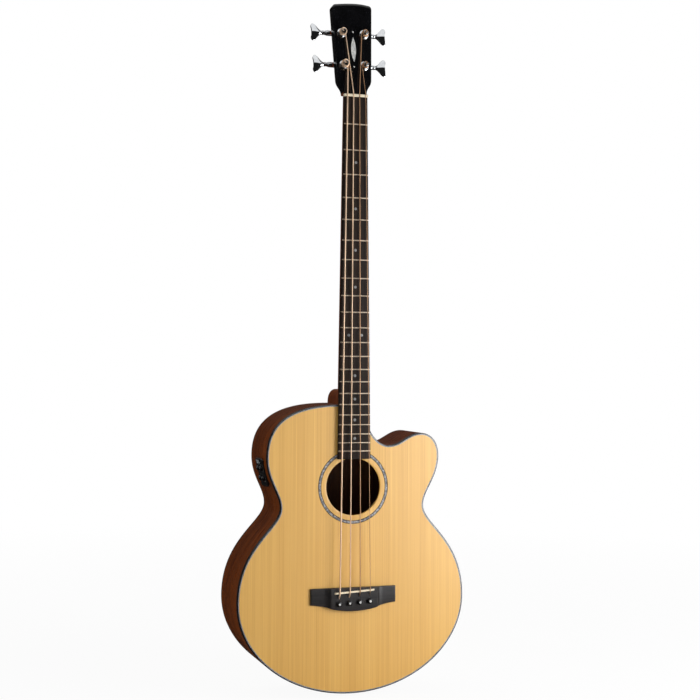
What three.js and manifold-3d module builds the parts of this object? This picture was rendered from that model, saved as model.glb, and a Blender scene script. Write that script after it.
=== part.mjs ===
// Acoustic bass guitar with a single cutaway and 22 frets, in millimetres.
// +Z runs up the neck, +X points to the treble side and +Y to the back, so the front faces -Y.
// Shapes are drawn from the tail (z = 0) and the face of the soundboard (y = 0), then the whole
// instrument is moved so that the point where a hanger holds the neck is the origin.
import * as THREE from 'three';
import { mergeVertices } from 'three/addons/utils/BufferGeometryUtils.js';
import Module from 'manifold-3d';

// Fits and cutting allowances
const GAP = 0.3; // clearance between neighbours
const OVERRUN = 6; // how far a cutter runs past a face
const WELD = 1e-4; // distance at which vertices are merged

// Fretboard and scale
const SCALE_LENGTH = 864;
const FRET_COUNT = 22;
const JOINT_FRET = 17; // fret at which the neck meets the body
const COMPENSATION = 1; // extra length from the nut to the middle of the saddle
const NUT_WIDTH = 43;
const BOARD_END_WIDTH = 60;
const BOARD_THICKNESS = 6;
const BOARD_TAIL = 14; // length past the last fret
const BOARD_RADIUS = 400;
const BOARD_SAG_STEPS = 4; // facets across the cambered board
const FRET_WIDTH = 2.4;
const FRET_HEIGHT = 1.1;
const FRET_SINK = 1.2;

// Body
const BODY_LENGTH = 502.6;
const LOWER_HALF_WIDTH = 208.7;
const WAIST_HALF_WIDTH = 132.5;
const UPPER_HALF_WIDTH = 157.5;
const SHOULDER_X = 20; // bass side end of the flat that meets the neck
const HORN_HALF_WIDTH = 161.5;
const HORN_TOP_X = 128;
const SCOOP_X = 66;
const CUT_SIDE_X = 27; // treble wall beside the neck
const OUTLINE_STEPS = 8; // facets on each curve of the outline
const DEPTH_AT_NECK = 98;
const DEPTH_AT_TAIL = 120;
const TOP_THICKNESS = 3;
const BACK_THICKNESS = 3;
const SIDE_THICKNESS = 2.4;
const BINDING_WIDTH = 2.6;
const BINDING_HEIGHT = 6;
const LINING_WIDTH = 6;
const LINING_HEIGHT = 14;

// Heights of the outline's points: the lower ones as shares of the body's length, the upper
// ones as distances down from the edge that meets the neck
const LOWER_SHARE = 0.3243; // widest place of the lower bout
const WAIST_SHARE = 0.64465;
const UPPER_DROP = 91.6; // widest place of the upper bout, on the bass side
const HORN_WIDE_DROP = 90.6;
const HORN_TOP_DROP = 51.1;
const SCOOP_DROP = 72.1;
const CUT_SIDE_DROP = 26.6; // where the wall beside the neck turns straight

// Handles of the outline's Bezier curves, as shares of the rise or run that they follow
const QUARTER_SHARE = 0.5523; // an elliptic quarter
const FLANK_LOW_SHARE = 0.61;
const FLANK_HIGH_SHARE = 0.21;
const WAIST_LOW_SHARE = 0.29;
const WAIST_HIGH_SHARE = 0.46;
const SHOULDER_RISE_SHARE = 0.66;
const SHOULDER_RUN_SHARE = 0.7;
const HORN_SHARE = 0.59;
const SCOOP_SHARE = 0.42;
const CUT_RUN_SHARE = 0.46;
const CUT_RISE_SHARE = 0.5;

// Soundhole and rosette
const HOLE_RADIUS = 49.8;
const HOLE_FROM_TOP = 143.6; // from the body's top edge to the soundhole's centre
const ROSETTE_INNER = 59;
const ROSETTE_OUTER = 64.6;
const ROSETTE_DEPTH = 1;
const ROUND_STEPS = 36; // facets round the soundhole

// Bracing and blocks
const BRACE_WIDTH = 8;
const BRACE_HEIGHT = 13;
const TONE_BRACE_HEIGHT = 9;
const CROSS_DROP = 36.2; // from the soundhole's rim down to the crossing of the X
const UPPER_BRACE_DROP = 11.5; // from the cutaway's lowest place down to the brace's middle
const UPPER_BRACE_WIDTH = 11;
const BACK_BRACE_WIDTH = 9;
const BACK_STRIP_WIDTH = 20;
const BACK_STRIP_HEIGHT = 2.6;
const PLATE_HALF_LENGTH = 64;
const PLATE_THICKNESS = 3;
const PLATE_MARGIN = 2; // bridge plate past the bridge's top edge
const BLOCK_BASS_X = 42;
const BLOCK_TREBLE_X = 22;
const BLOCK_LENGTH = 47;
const TAIL_BLOCK_WIDTH = 84;
const TAIL_BLOCK_LENGTH = 22;

// Neck
const NECK_DEPTH_AT_NUT = 15;
const NECK_DEPTH_AT_JOINT = 18.5;
const NECK_SECTION_STEPS = 10;
const HEEL_HALF_WIDTH = 26;
const HEEL_CAP_HALF_WIDTH = 15;
const HEEL_CAP_LENGTH = 25; // from the body to the tip of the heel cap
const HEEL_ROOT_LENGTH = 62; // from the body to where the heel leaves the shaft
const HEEL_CAP_THICKNESS = 2;
const TENON_WIDTH = 24;
const TENON_LENGTH = 14;
const TENON_FROM_BACK = 18;
const ROD_RADIUS = 3;
const ROD_NUT_RADIUS = 4.6;
const ROD_NUT_LENGTH = 10;
const ROD_TOP_FROM_NUT = 12;
const ROD_KEY_RADIUS = 2.2;
const ROD_KEY_DEPTH = 6;
const HEXAGON = 6; // sides of the key's socket

// Headstock
const HEAD_TILT = 7; // degrees
const HEAD_LENGTH = 167.8;
const HEAD_THICKNESS = 15;
const HEAD_TOP_WIDTH = 74;
const HEAD_LOW_WIDTH = 63;
const HEAD_SHOULDER = 29;
const HEAD_CORNER = 8;
const HEAD_STEPS = 5; // facets on each curve of the head's outline
const HEAD_TREBLE_DROP = 1.6; // fall of the top edge to its corner on the treble side
const HEAD_BASS_DROP = 3.4;
const HEAD_CROWN_X = 10; // corner of the control polygon over the top edge
const HEAD_CROWN_RISE = 2.4;
const VENEER_THICKNESS = 1.5;
const NUT_LENGTH = 5;
const POST_LOW = 53; // along the head from the nut's back face
const POST_HIGH = 111.5;
const POST_LOW_X = 19;
const POST_HIGH_X = 20.9;
const INLAY_LENGTH = 46;
const INLAY_WIDTH = 9;
const INLAY_DEPTH = 0.9;

// Tuning machines, worm over gear
const POST_RADIUS = 4.4;
const POST_TOP = 14.5; // above the wooden face of the head
const POST_SLOT_WIDTH = 4.4;
const POST_HUB_RADIUS = 3.6;
const POST_PIN_RADIUS = 2.6;
const GEAR_TEETH = 20;
const GEAR_RADIUS = 4.5;
const TOOTH_HEIGHT = 0.8;
const GEAR_THICKNESS = 3;
const WORM_RADIUS = 2.3; // the worm is drawn as the plain cylinder that clears the gear
const WORM_HALF_LENGTH = 4.5;
const WORM_DEPTH = 7.3; // worm axis behind the wood of the head
const WORM_END = 6.5;
const SHAFT_RADIUS = 1.8;
const SHAFT_OUTER_RADIUS = 2.8;
const HOUSING_DEPTH = 13;
const HOUSING_HALF_WIDTH = 8.5;
const HOUSING_LOW = 8;
const HOUSING_HIGH = 12.4;
const BOSS_RADIUS = 4.8;
const BOSS_END = 22.4;
const COLLAR_RADIUS = 4;
const COLLAR_LENGTH = 5.2;
const KEY_LENGTH = 22.6;
const KEY_HEIGHT = 31.2;
const KEY_RIDGE = 6;
const KEY_EDGE = 2.6;
const KEY_WAIST = 6.4;
const KEY_SCOOP_RADIUS = 26;
const KEY_SCOOP_DEPTH = 1.8;
const FERRULE_RADIUS = 8.4;
const FERRULE_THICKNESS = 1.4;
const FERRULE_WALL = 1.1;
const FERRULE_SHANK_LENGTH = 9;
const TURNED_STEPS = 16; // facets round a turned part
const SMALL_STEPS = 10;

// Strings, bass to treble
const STRING_NAMES = ['string_e', 'string_a', 'string_d', 'string_g'];
const STRING_DIAMETERS = [2.5, 2, 1.6, 1.15];
const STRING_TURNS = 2; // whole turns on the post
const STRING_SIDES = 6;
const WRAP_STEPS = 16; // facets in each turn on the post
const WRAP_TOP = 12.1; // top turn's centre line above the wood of the head
const NUT_SPREAD = 34;
const SADDLE_SPREAD = 56.4;
const NUT_CLEARANCE = 0.5; // string above the fret line at the nut
const SADDLE_TOP = 11.5; // above the soundboard
const BALL_RADIUS = 2.8;
const BALL_CLEARANCE = 0.8; // between a pin's tip and the ball
const STRING_END = 0.6; // wire left past the post's axis
const STRING_BEND = 3.2; // rounding of the wire's corner in the bridge
const BEND_STEPS = 4;
const ENTRY_STEPS = 6;
const ENTRY_BASE = 0.9; // bend of the wire into the post's slot
const ENTRY_SHARE = 1.05; // added for each millimetre of wire radius

// Bridge
const BRIDGE_HALF_LENGTH = 78.5;
const BRIDGE_HEIGHT = 8.5;
const BRIDGE_TOP_ABOVE_SADDLE = 6.5;
const BRIDGE_WING_DEPTH = 28.6;
const BRIDGE_BELLY_DEPTH = 40.5;
const BRIDGE_WING_START = 43;
const BRIDGE_WING_HEIGHT = 3.4;
const BRIDGE_STEPS = 5; // facets on each curve of the bridge's outline
const SADDLE_LENGTH = 73;
const SADDLE_WIDTH = 3;
const SADDLE_SLANT = 3.2; // degrees
const SADDLE_SEAT = 2.6; // height of the slot's floor
const PICKUP_HEIGHT = 1;
const PIN_SETBACK = 19;
const PIN_RADIUS = 2.9;
const PIN_TIP_RADIUS = 2.3;
const PIN_HEAD_RADIUS = 4.8;
const PIN_HEAD_HEIGHT = 4.4;
const PIN_TIP = 8;

// Electronics
const PANEL_LENGTH = 50;
const PANEL_WIDTH = 39;
const PANEL_THICKNESS = 2.4;
const PANEL_ABOVE_WAIST = 37; // its lower end above the waist
const PANEL_RISE = 48; // height from end to end, a little less than its length as it leans
const PANEL_BACK_SHARE = 0.376; // its middle, as a share of the body's depth there
const CASE_MARGIN = 3;
const CASE_DEPTH = 30;
const KNOB_RADIUS = 4.6;
const KNOB_HEIGHT = 3.6;
const KNOB_STEM_RADIUS = 1.6;
const KNOB_STEM_LENGTH = 3.6;
const KNOB_ROWS = [8, -10];
const KNOB_COLUMNS = [-9, 9];
const BUTTON_RADIUS = 2.4;
const BUTTON_HEIGHT = 1.6;
const BUTTON_TRAVEL = 0.8;
const BUTTON_UP = 17.5;
const BUTTON_ACROSS = -11;
const JACK_RADIUS = 5.8;
const JACK_RING_RADIUS = 9;
const JACK_RING_THICKNESS = 4;
const JACK_BORE_RADIUS = 3.3;
const JACK_BORE_DEPTH = 30;
const JACK_LENGTH = 40;
const BATTERY_WIDTH = 48.5;
const BATTERY_DEPTH = 26.5;
const BATTERY_THICKNESS = 17.5;
const BATTERY_FRONT = 34;
const LEAD_RADIUS = 1.6;
const LEAD_SIDES = 6;
const LEAD_STEPS = 28;
const LEAD_INSET = 22; // from the outside of the body

// Hanger
const HANGER_BEHIND_NUT = 20; // height of the yoke above the nut
const HANGER_BACK = 8;

// Places that follow from the sizes above
const fretDistance = (fret) => SCALE_LENGTH * (1 - 2 ** (-fret / 12));
const NUT_Z = BODY_LENGTH + fretDistance(JOINT_FRET);
const LOWER_HEIGHT = BODY_LENGTH * LOWER_SHARE;
const WAIST_HEIGHT = BODY_LENGTH * WAIST_SHARE;
const UPPER_HEIGHT = BODY_LENGTH - UPPER_DROP;
const HORN_HEIGHT = BODY_LENGTH - HORN_WIDE_DROP;
const HORN_TOP_Z = BODY_LENGTH - HORN_TOP_DROP;
const SCOOP_Z = BODY_LENGTH - SCOOP_DROP;
const CUT_SIDE_Z = BODY_LENGTH - CUT_SIDE_DROP;
const SADDLE_Z = NUT_Z - SCALE_LENGTH - COMPENSATION;
const HOLE_Z = BODY_LENGTH - HOLE_FROM_TOP;
const CROSS_HEIGHT = HOLE_Z - HOLE_RADIUS - CROSS_DROP;
const UPPER_BRACE_HEIGHT = SCOOP_Z - UPPER_BRACE_DROP;
const BOARD_LENGTH = fretDistance(FRET_COUNT) + BOARD_TAIL;
const BOARD_TOP = BOARD_THICKNESS + GAP;
const FRET_TOP = BOARD_TOP + FRET_HEIGHT;
const TOP_INSIDE = TOP_THICKNESS + GAP;
const BACK_SLOPE = (DEPTH_AT_TAIL - DEPTH_AT_NECK) / BODY_LENGTH;
const BRIDGE_TOP_Z = SADDLE_Z + BRIDGE_TOP_ABOVE_SADDLE;
const PIN_Z = SADDLE_Z - PIN_SETBACK;
const BALL_DEPTH = PIN_TIP + BALL_CLEARANCE + BALL_RADIUS; // ball's centre behind the face
const PLATE_LOW = BRIDGE_TOP_Z - BRIDGE_BELLY_DEPTH;
const TENON_BACK = DEPTH_AT_NECK - TENON_FROM_BACK;
const JACK_BACK = DEPTH_AT_TAIL / 2;
const PANEL_LOW = WAIST_HEIGHT + PANEL_ABOVE_WAIST;
const PANEL_HIGH = PANEL_LOW + PANEL_RISE;
const KEY_START = BOSS_END + COLLAR_LENGTH;
const FERRULE_SHANK_RADIUS = POST_RADIUS + GAP + FERRULE_WALL;
const ROD_BACK = TOP_INSIDE + GAP + ROD_NUT_RADIUS; // axis of the truss rod behind the face
const ROD_CHANNEL = ROD_RADIUS + GAP;
const BLOCK_Z = BODY_LENGTH - BLOCK_LENGTH;
const WORM_OFFSET = GEAR_RADIUS + GAP + WORM_RADIUS;
const WORM_Y = HEAD_THICKNESS + WORM_DEPTH;
const VENEER_FACE = -GAP - VENEER_THICKNESS;
const REACH = 2 * LOWER_HALF_WIDTH; // half size of a cutter wider than the body
const radians = THREE.MathUtils.degToRad;

// Materials
const finish = (color, roughness, metalness = 0) => (
  new THREE.MeshStandardMaterial({ color, roughness, metalness })
);
const SPRUCE = finish(0xe2b872, 0.35);
const MAHOGANY = finish(0x6a3412, 0.35);
const PALE_WOOD = finish(0xc9a36c, 0.7);
const BLACK_GLOSS = finish(0x0c0c0d, 0.15);
const BLACK_SATIN = finish(0x1d1c1c, 0.5);
const ROSEWOOD = finish(0x2c1a12, 0.55);
const BONE = finish(0xe9dcbe, 0.4);
const PEARL = finish(0xe8e8e2, 0.25);
const CHROME = finish(0xc9ccd0, 0.15, 1);
const STEEL = finish(0x8d9094, 0.35, 1);
const BRONZE = finish(0xb07f58, 0.35, 1);

// Solids
const wasm = await Module();
wasm.setup();

function solid(geometry) {
  const bare = geometry.index ? geometry.toNonIndexed() : geometry.clone();
  bare.deleteAttribute('normal');
  bare.deleteAttribute('uv');
  const merged = mergeVertices(bare, WELD);
  return new wasm.Manifold(new wasm.Mesh({
    numProp: 3,
    vertProperties: new Float32Array(merged.getAttribute('position').array),
    triVerts: new Uint32Array(merged.index.array),
  }));
}

function geometryOf(body) {
  const mesh = body.getMesh();
  const geometry = new THREE.BufferGeometry();
  const position = new THREE.BufferAttribute(new Float32Array(mesh.vertProperties), 3);
  geometry.setAttribute('position', position);
  geometry.setIndex(new THREE.BufferAttribute(new Uint32Array(mesh.triVerts), 1));
  return geometry;
}

const join = (...bodies) => bodies.reduce((sum, body) => sum.add(body));
const cut = (body, ...tools) => tools.reduce((rest, tool) => rest.subtract(tool), body);

// A prism of an outline and its holes, drawn in the plane that the two axes name
const AXES = {
  x: new THREE.Vector3(1, 0, 0), y: new THREE.Vector3(0, 1, 0), z: new THREE.Vector3(0, 0, 1),
};

function prism(outline, holes, from, to, right, up) {
  const shape = new THREE.Shape(outline);
  shape.holes = holes.map((hole) => new THREE.Path(hole));
  const geometry = new THREE.ExtrudeGeometry(shape, { depth: to - from, bevelEnabled: false });
  const along = new THREE.Vector3().crossVectors(right, up);
  const basis = new THREE.Matrix4().makeBasis(right, up, along);
  return geometry.translate(0, 0, from).applyMatrix4(basis);
}

// Outlines in x and z, extruded from one depth to another
const plate = (outline, holes, front, back) => (
  prism(outline, holes, -back, -front, AXES.x, AXES.z)
);
// Outlines in y and z, extruded across
const rib = (outline, left, right) => prism(outline, [], left, right, AXES.y, AXES.z);

function box(x0, x1, y0, y1, z0, z1) {
  const geometry = new THREE.BoxGeometry(x1 - x0, y1 - y0, z1 - z0);
  return geometry.translate((x0 + x1) / 2, (y0 + y1) / 2, (z0 + z1) / 2);
}

const block = (...limits) => solid(box(...limits));

function cylinder(radius, from, to, axis, steps = TURNED_STEPS) {
  const geometry = new THREE.CylinderGeometry(radius, radius, to - from, steps);
  geometry.translate(0, (from + to) / 2, 0);
  return turnTo(geometry, axis);
}

// Turns a shape drawn about +Y so that its axis points along X or Z instead
function turnTo(geometry, axis) {
  if (axis === 'x') geometry.rotateZ(-Math.PI / 2);
  if (axis === 'z') geometry.rotateX(Math.PI / 2);
  return geometry;
}

// A turned part: profile points are [radius, height], from low to high on the outside
function turned(profile, axis, steps = TURNED_STEPS) {
  const points = profile.map(([radius, height]) => new THREE.Vector2(radius, height));
  return turnTo(new THREE.LatheGeometry(points, steps), axis);
}

function circle(radius, steps, x = 0, z = 0) {
  return Array.from({ length: steps }, (_, step) => {
    const angle = (2 * Math.PI * step) / steps;
    return new THREE.Vector2(x + radius * Math.cos(angle), z + radius * Math.sin(angle));
  });
}

// Skins a row of rings, each wound right-handed about the way the row runs
function loft(rings) {
  const sides = rings[0].length;
  const points = rings.flat();
  const faces = [];
  for (let row = 0; row + 1 < rings.length; row += 1) {
    for (let side = 0; side < sides; side += 1) {
      const here = row * sides + side;
      const next = row * sides + ((side + 1) % sides);
      faces.push(here, next, here + sides, next, next + sides, here + sides);
    }
  }
  const last = (rings.length - 1) * sides;
  for (let side = 1; side + 1 < sides; side += 1) {
    faces.push(0, side + 1, side, last, last + side, last + side + 1);
  }
  const geometry = new THREE.BufferGeometry().setFromPoints(points);
  geometry.setIndex(faces);
  return geometry;
}

// A round wire through a row of points
function wire(points, radius, sides) {
  let across = new THREE.Vector3(1, 0, 0);
  const rings = points.map((point, index) => {
    const before = points[Math.max(index - 1, 0)];
    const after = points[Math.min(index + 1, points.length - 1)];
    const ahead = after.clone().sub(before).normalize();
    across = across.clone().addScaledVector(ahead, -across.dot(ahead)).normalize();
    const over = ahead.clone().cross(across);
    return Array.from({ length: sides }, (_, side) => {
      const angle = (2 * Math.PI * side) / sides;
      return point.clone()
        .addScaledVector(across, radius * Math.cos(angle))
        .addScaledVector(over, radius * Math.sin(angle));
    });
  });
  return loft(rings);
}

// Moves each corner of a closed outline inward, square to its two edges
function inset(outline, distance) {
  return outline.map((corner, index) => {
    const before = outline[(index + outline.length - 1) % outline.length];
    const after = outline[(index + 1) % outline.length];
    const first = corner.clone().sub(before).normalize();
    const second = after.clone().sub(corner).normalize();
    const inward = new THREE.Vector2(-first.y - second.y, first.x + second.x).normalize();
    const reach = distance / Math.max(inward.dot(new THREE.Vector2(-first.y, first.x)), 0.5);
    return corner.clone().addScaledVector(inward, reach);
  });
}

// Outline of the body
function bodyOutline() {
  const flank = WAIST_HEIGHT - LOWER_HEIGHT;
  const path = new THREE.Path();
  path.moveTo(0, 0);
  path.bezierCurveTo(
    LOWER_HALF_WIDTH * QUARTER_SHARE, 0,
    LOWER_HALF_WIDTH, LOWER_HEIGHT * (1 - QUARTER_SHARE),
    LOWER_HALF_WIDTH, LOWER_HEIGHT,
  );
  path.bezierCurveTo(
    LOWER_HALF_WIDTH, LOWER_HEIGHT + flank * FLANK_LOW_SHARE,
    WAIST_HALF_WIDTH, WAIST_HEIGHT - flank * FLANK_HIGH_SHARE,
    WAIST_HALF_WIDTH, WAIST_HEIGHT,
  );
  const hornRise = HORN_HEIGHT - WAIST_HEIGHT;
  path.bezierCurveTo(
    WAIST_HALF_WIDTH, WAIST_HEIGHT + hornRise * WAIST_LOW_SHARE,
    HORN_HALF_WIDTH, HORN_HEIGHT - hornRise * WAIST_HIGH_SHARE,
    HORN_HALF_WIDTH, HORN_HEIGHT,
  );
  path.bezierCurveTo(
    HORN_HALF_WIDTH, HORN_HEIGHT + (HORN_TOP_Z - HORN_HEIGHT) * HORN_SHARE,
    HORN_TOP_X + (HORN_HALF_WIDTH - HORN_TOP_X) * HORN_SHARE, HORN_TOP_Z,
    HORN_TOP_X, HORN_TOP_Z,
  );
  const scoopRun = HORN_TOP_X - SCOOP_X;
  path.bezierCurveTo(
    HORN_TOP_X - scoopRun * SCOOP_SHARE, HORN_TOP_Z,
    SCOOP_X + scoopRun * SCOOP_SHARE, SCOOP_Z,
    SCOOP_X, SCOOP_Z,
  );
  path.bezierCurveTo(
    SCOOP_X - (SCOOP_X - CUT_SIDE_X) * CUT_RUN_SHARE, SCOOP_Z,
    CUT_SIDE_X, CUT_SIDE_Z - (CUT_SIDE_Z - SCOOP_Z) * CUT_RISE_SHARE,
    CUT_SIDE_X, CUT_SIDE_Z,
  );
  path.lineTo(CUT_SIDE_X, BODY_LENGTH);
  path.lineTo(-SHOULDER_X, BODY_LENGTH);
  path.bezierCurveTo(
    -SHOULDER_X - (UPPER_HALF_WIDTH - SHOULDER_X) * SHOULDER_RUN_SHARE, BODY_LENGTH,
    -UPPER_HALF_WIDTH, UPPER_HEIGHT + (BODY_LENGTH - UPPER_HEIGHT) * SHOULDER_RISE_SHARE,
    -UPPER_HALF_WIDTH, UPPER_HEIGHT,
  );
  const upperRise = UPPER_HEIGHT - WAIST_HEIGHT;
  path.bezierCurveTo(
    -UPPER_HALF_WIDTH, UPPER_HEIGHT - upperRise * WAIST_HIGH_SHARE,
    -WAIST_HALF_WIDTH, WAIST_HEIGHT + upperRise * WAIST_LOW_SHARE,
    -WAIST_HALF_WIDTH, WAIST_HEIGHT,
  );
  path.bezierCurveTo(
    -WAIST_HALF_WIDTH, WAIST_HEIGHT - flank * FLANK_HIGH_SHARE,
    -LOWER_HALF_WIDTH, LOWER_HEIGHT + flank * FLANK_LOW_SHARE,
    -LOWER_HALF_WIDTH, LOWER_HEIGHT,
  );
  path.bezierCurveTo(
    -LOWER_HALF_WIDTH, LOWER_HEIGHT * (1 - QUARTER_SHARE),
    -LOWER_HALF_WIDTH * QUARTER_SHARE, 0,
    0, 0,
  );
  const points = path.getPoints(OUTLINE_STEPS);
  points.pop();
  return points;
}

const OUTLINE = bodyOutline();
const backAt = (z) => DEPTH_AT_NECK + (BODY_LENGTH - z) * BACK_SLOPE;

// The space between two depths under the sloping back
function backLayer(deep, shallow) {
  const low = -OVERRUN;
  const high = BODY_LENGTH + OVERRUN;
  const corners = [
    new THREE.Vector2(backAt(low) - deep, low),
    new THREE.Vector2(backAt(low) - shallow, low),
    new THREE.Vector2(backAt(high) - shallow, high),
    new THREE.Vector2(backAt(high) - deep, high),
  ];
  return solid(rib(corners, -REACH, REACH));
}

const ring = (outer, inner, front, back) => (
  solid(plate(inset(OUTLINE, outer), [inset(OUTLINE, inner).reverse()], front, back))
);
const filled = (margin, front, back) => solid(plate(inset(OUTLINE, margin), [], front, back));

// The instrument and its head, whose face leans back from the nut
const guitar = new THREE.Group();
const head = new THREE.Group();
head.position.set(0, 0, NUT_Z + NUT_LENGTH + GAP);
head.rotation.x = -radians(HEAD_TILT);
head.updateMatrix();
guitar.add(head);

function place(name, shape, material, parent = guitar) {
  const geometry = shape.isBufferGeometry ? shape : geometryOf(shape);
  const mesh = new THREE.Mesh(geometry, material);
  mesh.name = name;
  parent.add(mesh);
  return mesh;
}

const onHead = (geometry) => geometry.applyMatrix4(head.matrix);

// Tuning machines: bass posts on the left take the first two strings, treble posts the others
const MACHINES = [
  { name: 'e', side: -1, x: -POST_LOW_X, z: POST_LOW },
  { name: 'a', side: -1, x: -POST_HIGH_X, z: POST_HIGH },
  { name: 'd', side: 1, x: POST_HIGH_X, z: POST_HIGH },
  { name: 'g', side: 1, x: POST_LOW_X, z: POST_LOW },
];

// Places of the strings
const across = (spread, index) => spread * (index / (STRING_NAMES.length - 1) - 1 / 2);
const slant = (x) => x * Math.tan(radians(SADDLE_SLANT));
const PINS = STRING_NAMES.map((_, index) => {
  const x = across(SADDLE_SPREAD, index);
  return { x, z: PIN_Z + slant(x) };
});

// The bend that takes a wire from its turns to the middle of the post's slot
function entryBend(radius) {
  const bend = ENTRY_BASE + ENTRY_SHARE * radius;
  const circleRadius = POST_RADIUS + GAP + radius;
  const sweep = Math.acos(-bend / (circleRadius - bend));
  return { bend, circleRadius, sweep };
}

// The wire on its post, drawn about the post's axis: counter-clockwise on bass posts
function wrap(index) {
  const { side } = MACHINES[index];
  const radius = STRING_DIAMETERS[index] / 2;
  const { bend, circleRadius, sweep } = entryBend(radius);
  const low = -VENEER_FACE + GAP + FERRULE_THICKNESS + GAP + radius;
  const steps = Math.round((STRING_TURNS + 1 / 4) * WRAP_STEPS);
  const rise = (WRAP_TOP - low) / steps;
  const points = [];
  for (let step = 0; step <= steps; step += 1) {
    const angle = (2 * Math.PI * step) / WRAP_STEPS;
    const height = low + rise * step;
    points.push([circleRadius * Math.cos(angle), circleRadius * Math.sin(angle), height]);
  }
  const start = (2 * Math.PI * steps) / WRAP_STEPS;
  const middle = circleRadius - bend;
  for (let step = 1; step <= ENTRY_STEPS; step += 1) {
    const angle = start + (sweep * step) / ENTRY_STEPS;
    points.push([
      middle * Math.cos(start) + bend * Math.cos(angle),
      middle * Math.sin(start) + bend * Math.sin(angle),
      WRAP_TOP,
    ]);
  }
  const entry = start + sweep + Math.PI / 2;
  points.push([STRING_END * Math.cos(entry), STRING_END * Math.sin(entry), WRAP_TOP]);
  const turned = points.map(([x, z, height]) => new THREE.Vector3(-side * x, -height, z));
  return { points: turned, slot: -side * entry, low };
}

// Rounds the corner at the middle of three points
function roundCorner(before, corner, after) {
  const from = corner.clone().lerp(before, STRING_BEND / corner.distanceTo(before));
  const to = corner.clone().lerp(after, STRING_BEND / corner.distanceTo(after));
  return new THREE.QuadraticBezierCurve3(from, corner, to).getPoints(BEND_STEPS);
}

// The whole way of one string, from its ball end inside the body to its post
function stringRoute(index) {
  const { x, z } = PINS[index];
  const radius = STRING_DIAMETERS[index] / 2;
  const holeZ = z + PIN_RADIUS + GAP + radius;
  const ball = new THREE.Vector3(x, BALL_DEPTH, holeZ);
  const turn = new THREE.Vector3(x, -GAP - STRING_BEND, holeZ);
  const saddleBack = SADDLE_Z + slant(x) - SADDLE_WIDTH / 2 - GAP - radius / 2;
  const saddle = new THREE.Vector3(x, -SADDLE_TOP - GAP - radius, saddleBack);
  const nutX = across(NUT_SPREAD, index);
  const nutY = -FRET_TOP - NUT_CLEARANCE - radius;
  const nutBack = NUT_Z + NUT_LENGTH + GAP;
  const drift = ((nutX - x) / (NUT_Z - SADDLE_Z)) * (NUT_LENGTH + GAP);
  const coil = wrap(index).points.map((point) => {
    const machine = MACHINES[index];
    return point.clone().add(new THREE.Vector3(machine.x, 0, machine.z)).applyMatrix4(head.matrix);
  });
  return [
    ball,
    ...roundCorner(ball, turn, saddle),
    saddle,
    new THREE.Vector3(nutX, nutY, NUT_Z),
    new THREE.Vector3(nutX + drift, nutY, nutBack),
    ...coil,
  ];
}

const ROUTES = STRING_NAMES.map((_, index) => stringRoute(index));
const stringTube = (index, clearance) => (
  solid(wire(ROUTES[index], STRING_DIAMETERS[index] / 2 + clearance, STRING_SIDES))
);
const STRING_WAYS = STRING_NAMES.map((_, index) => {
  const route = ROUTES[index];
  const bridgePart = route.slice(0, BEND_STEPS + 3);
  const nutPart = route.slice(BEND_STEPS + 2, BEND_STEPS + 5);
  const radius = STRING_DIAMETERS[index] / 2 + GAP;
  return {
    bridge: solid(wire(bridgePart, radius, STRING_SIDES + 2)),
    nut: solid(wire(nutPart, radius, STRING_SIDES + 2)),
  };
});

// Least distance between turns of a wire, measured from point to point along its route
function leastSelfGap(index) {
  const route = ROUTES[index].slice(BEND_STEPS + 5);
  const diameter = STRING_DIAMETERS[index];
  let least = Infinity;
  route.forEach((point, first) => {
    route.slice(first + WRAP_STEPS / 2).forEach((other) => {
      least = Math.min(least, point.distanceTo(other) - diameter);
    });
  });
  return least;
}
STRING_NAMES.forEach((name, index) => {
  console.log(`${name}: least gap between turns ${leastSelfGap(index).toFixed(2)} mm`);
});

// Soundboard, back, sides, bindings and linings
const pinHoles = PINS.map(({ x, z }) => (
  solid(cylinder(PIN_RADIUS + GAP, -REACH, REACH, 'y', SMALL_STEPS).translate(x, 0, z))
));
const stringHoles = ROUTES.map(([ball], index) => solid(cylinder(
  STRING_DIAMETERS[index] / 2 + GAP, -GAP, BALL_DEPTH, 'y', SMALL_STEPS,
).translate(ball.x, 0, ball.z)));
const hole = solid(plate(circle(HOLE_RADIUS, ROUND_STEPS, 0, HOLE_Z), [], -OVERRUN, BRACE_HEIGHT));
const rosetteSeat = solid(plate(
  circle(ROSETTE_OUTER + GAP, ROUND_STEPS, 0, HOLE_Z),
  [circle(ROSETTE_INNER - GAP, ROUND_STEPS, 0, HOLE_Z).reverse()],
  -OVERRUN, ROSETTE_DEPTH + GAP,
));
place('soundboard', cut(
  filled(BINDING_WIDTH + GAP, 0, TOP_THICKNESS), hole, rosetteSeat, ...pinHoles, ...stringHoles,
), SPRUCE);
place('rosette', plate(
  circle(ROSETTE_OUTER, ROUND_STEPS, 0, HOLE_Z),
  [circle(ROSETTE_INNER, ROUND_STEPS, 0, HOLE_Z).reverse()],
  0, ROSETTE_DEPTH,
), PEARL);

const BACK_REACH = DEPTH_AT_TAIL + OVERRUN;
place('back_plate', filled(BINDING_WIDTH + GAP, 0, BACK_REACH).intersect(
  backLayer(BACK_THICKNESS, 0),
), MAHOGANY);

const neckPassage = block(
  -SHOULDER_X, SHOULDER_X, -OVERRUN, BINDING_HEIGHT + OVERRUN,
  BODY_LENGTH - BINDING_WIDTH - GAP, BODY_LENGTH + OVERRUN,
);
place('front_binding', cut(ring(0, BINDING_WIDTH, 0, BINDING_HEIGHT), neckPassage), BLACK_GLOSS);
place('back_binding', ring(0, BINDING_WIDTH, 0, BACK_REACH).intersect(
  backLayer(BINDING_HEIGHT, 0),
), BLACK_GLOSS);

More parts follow.
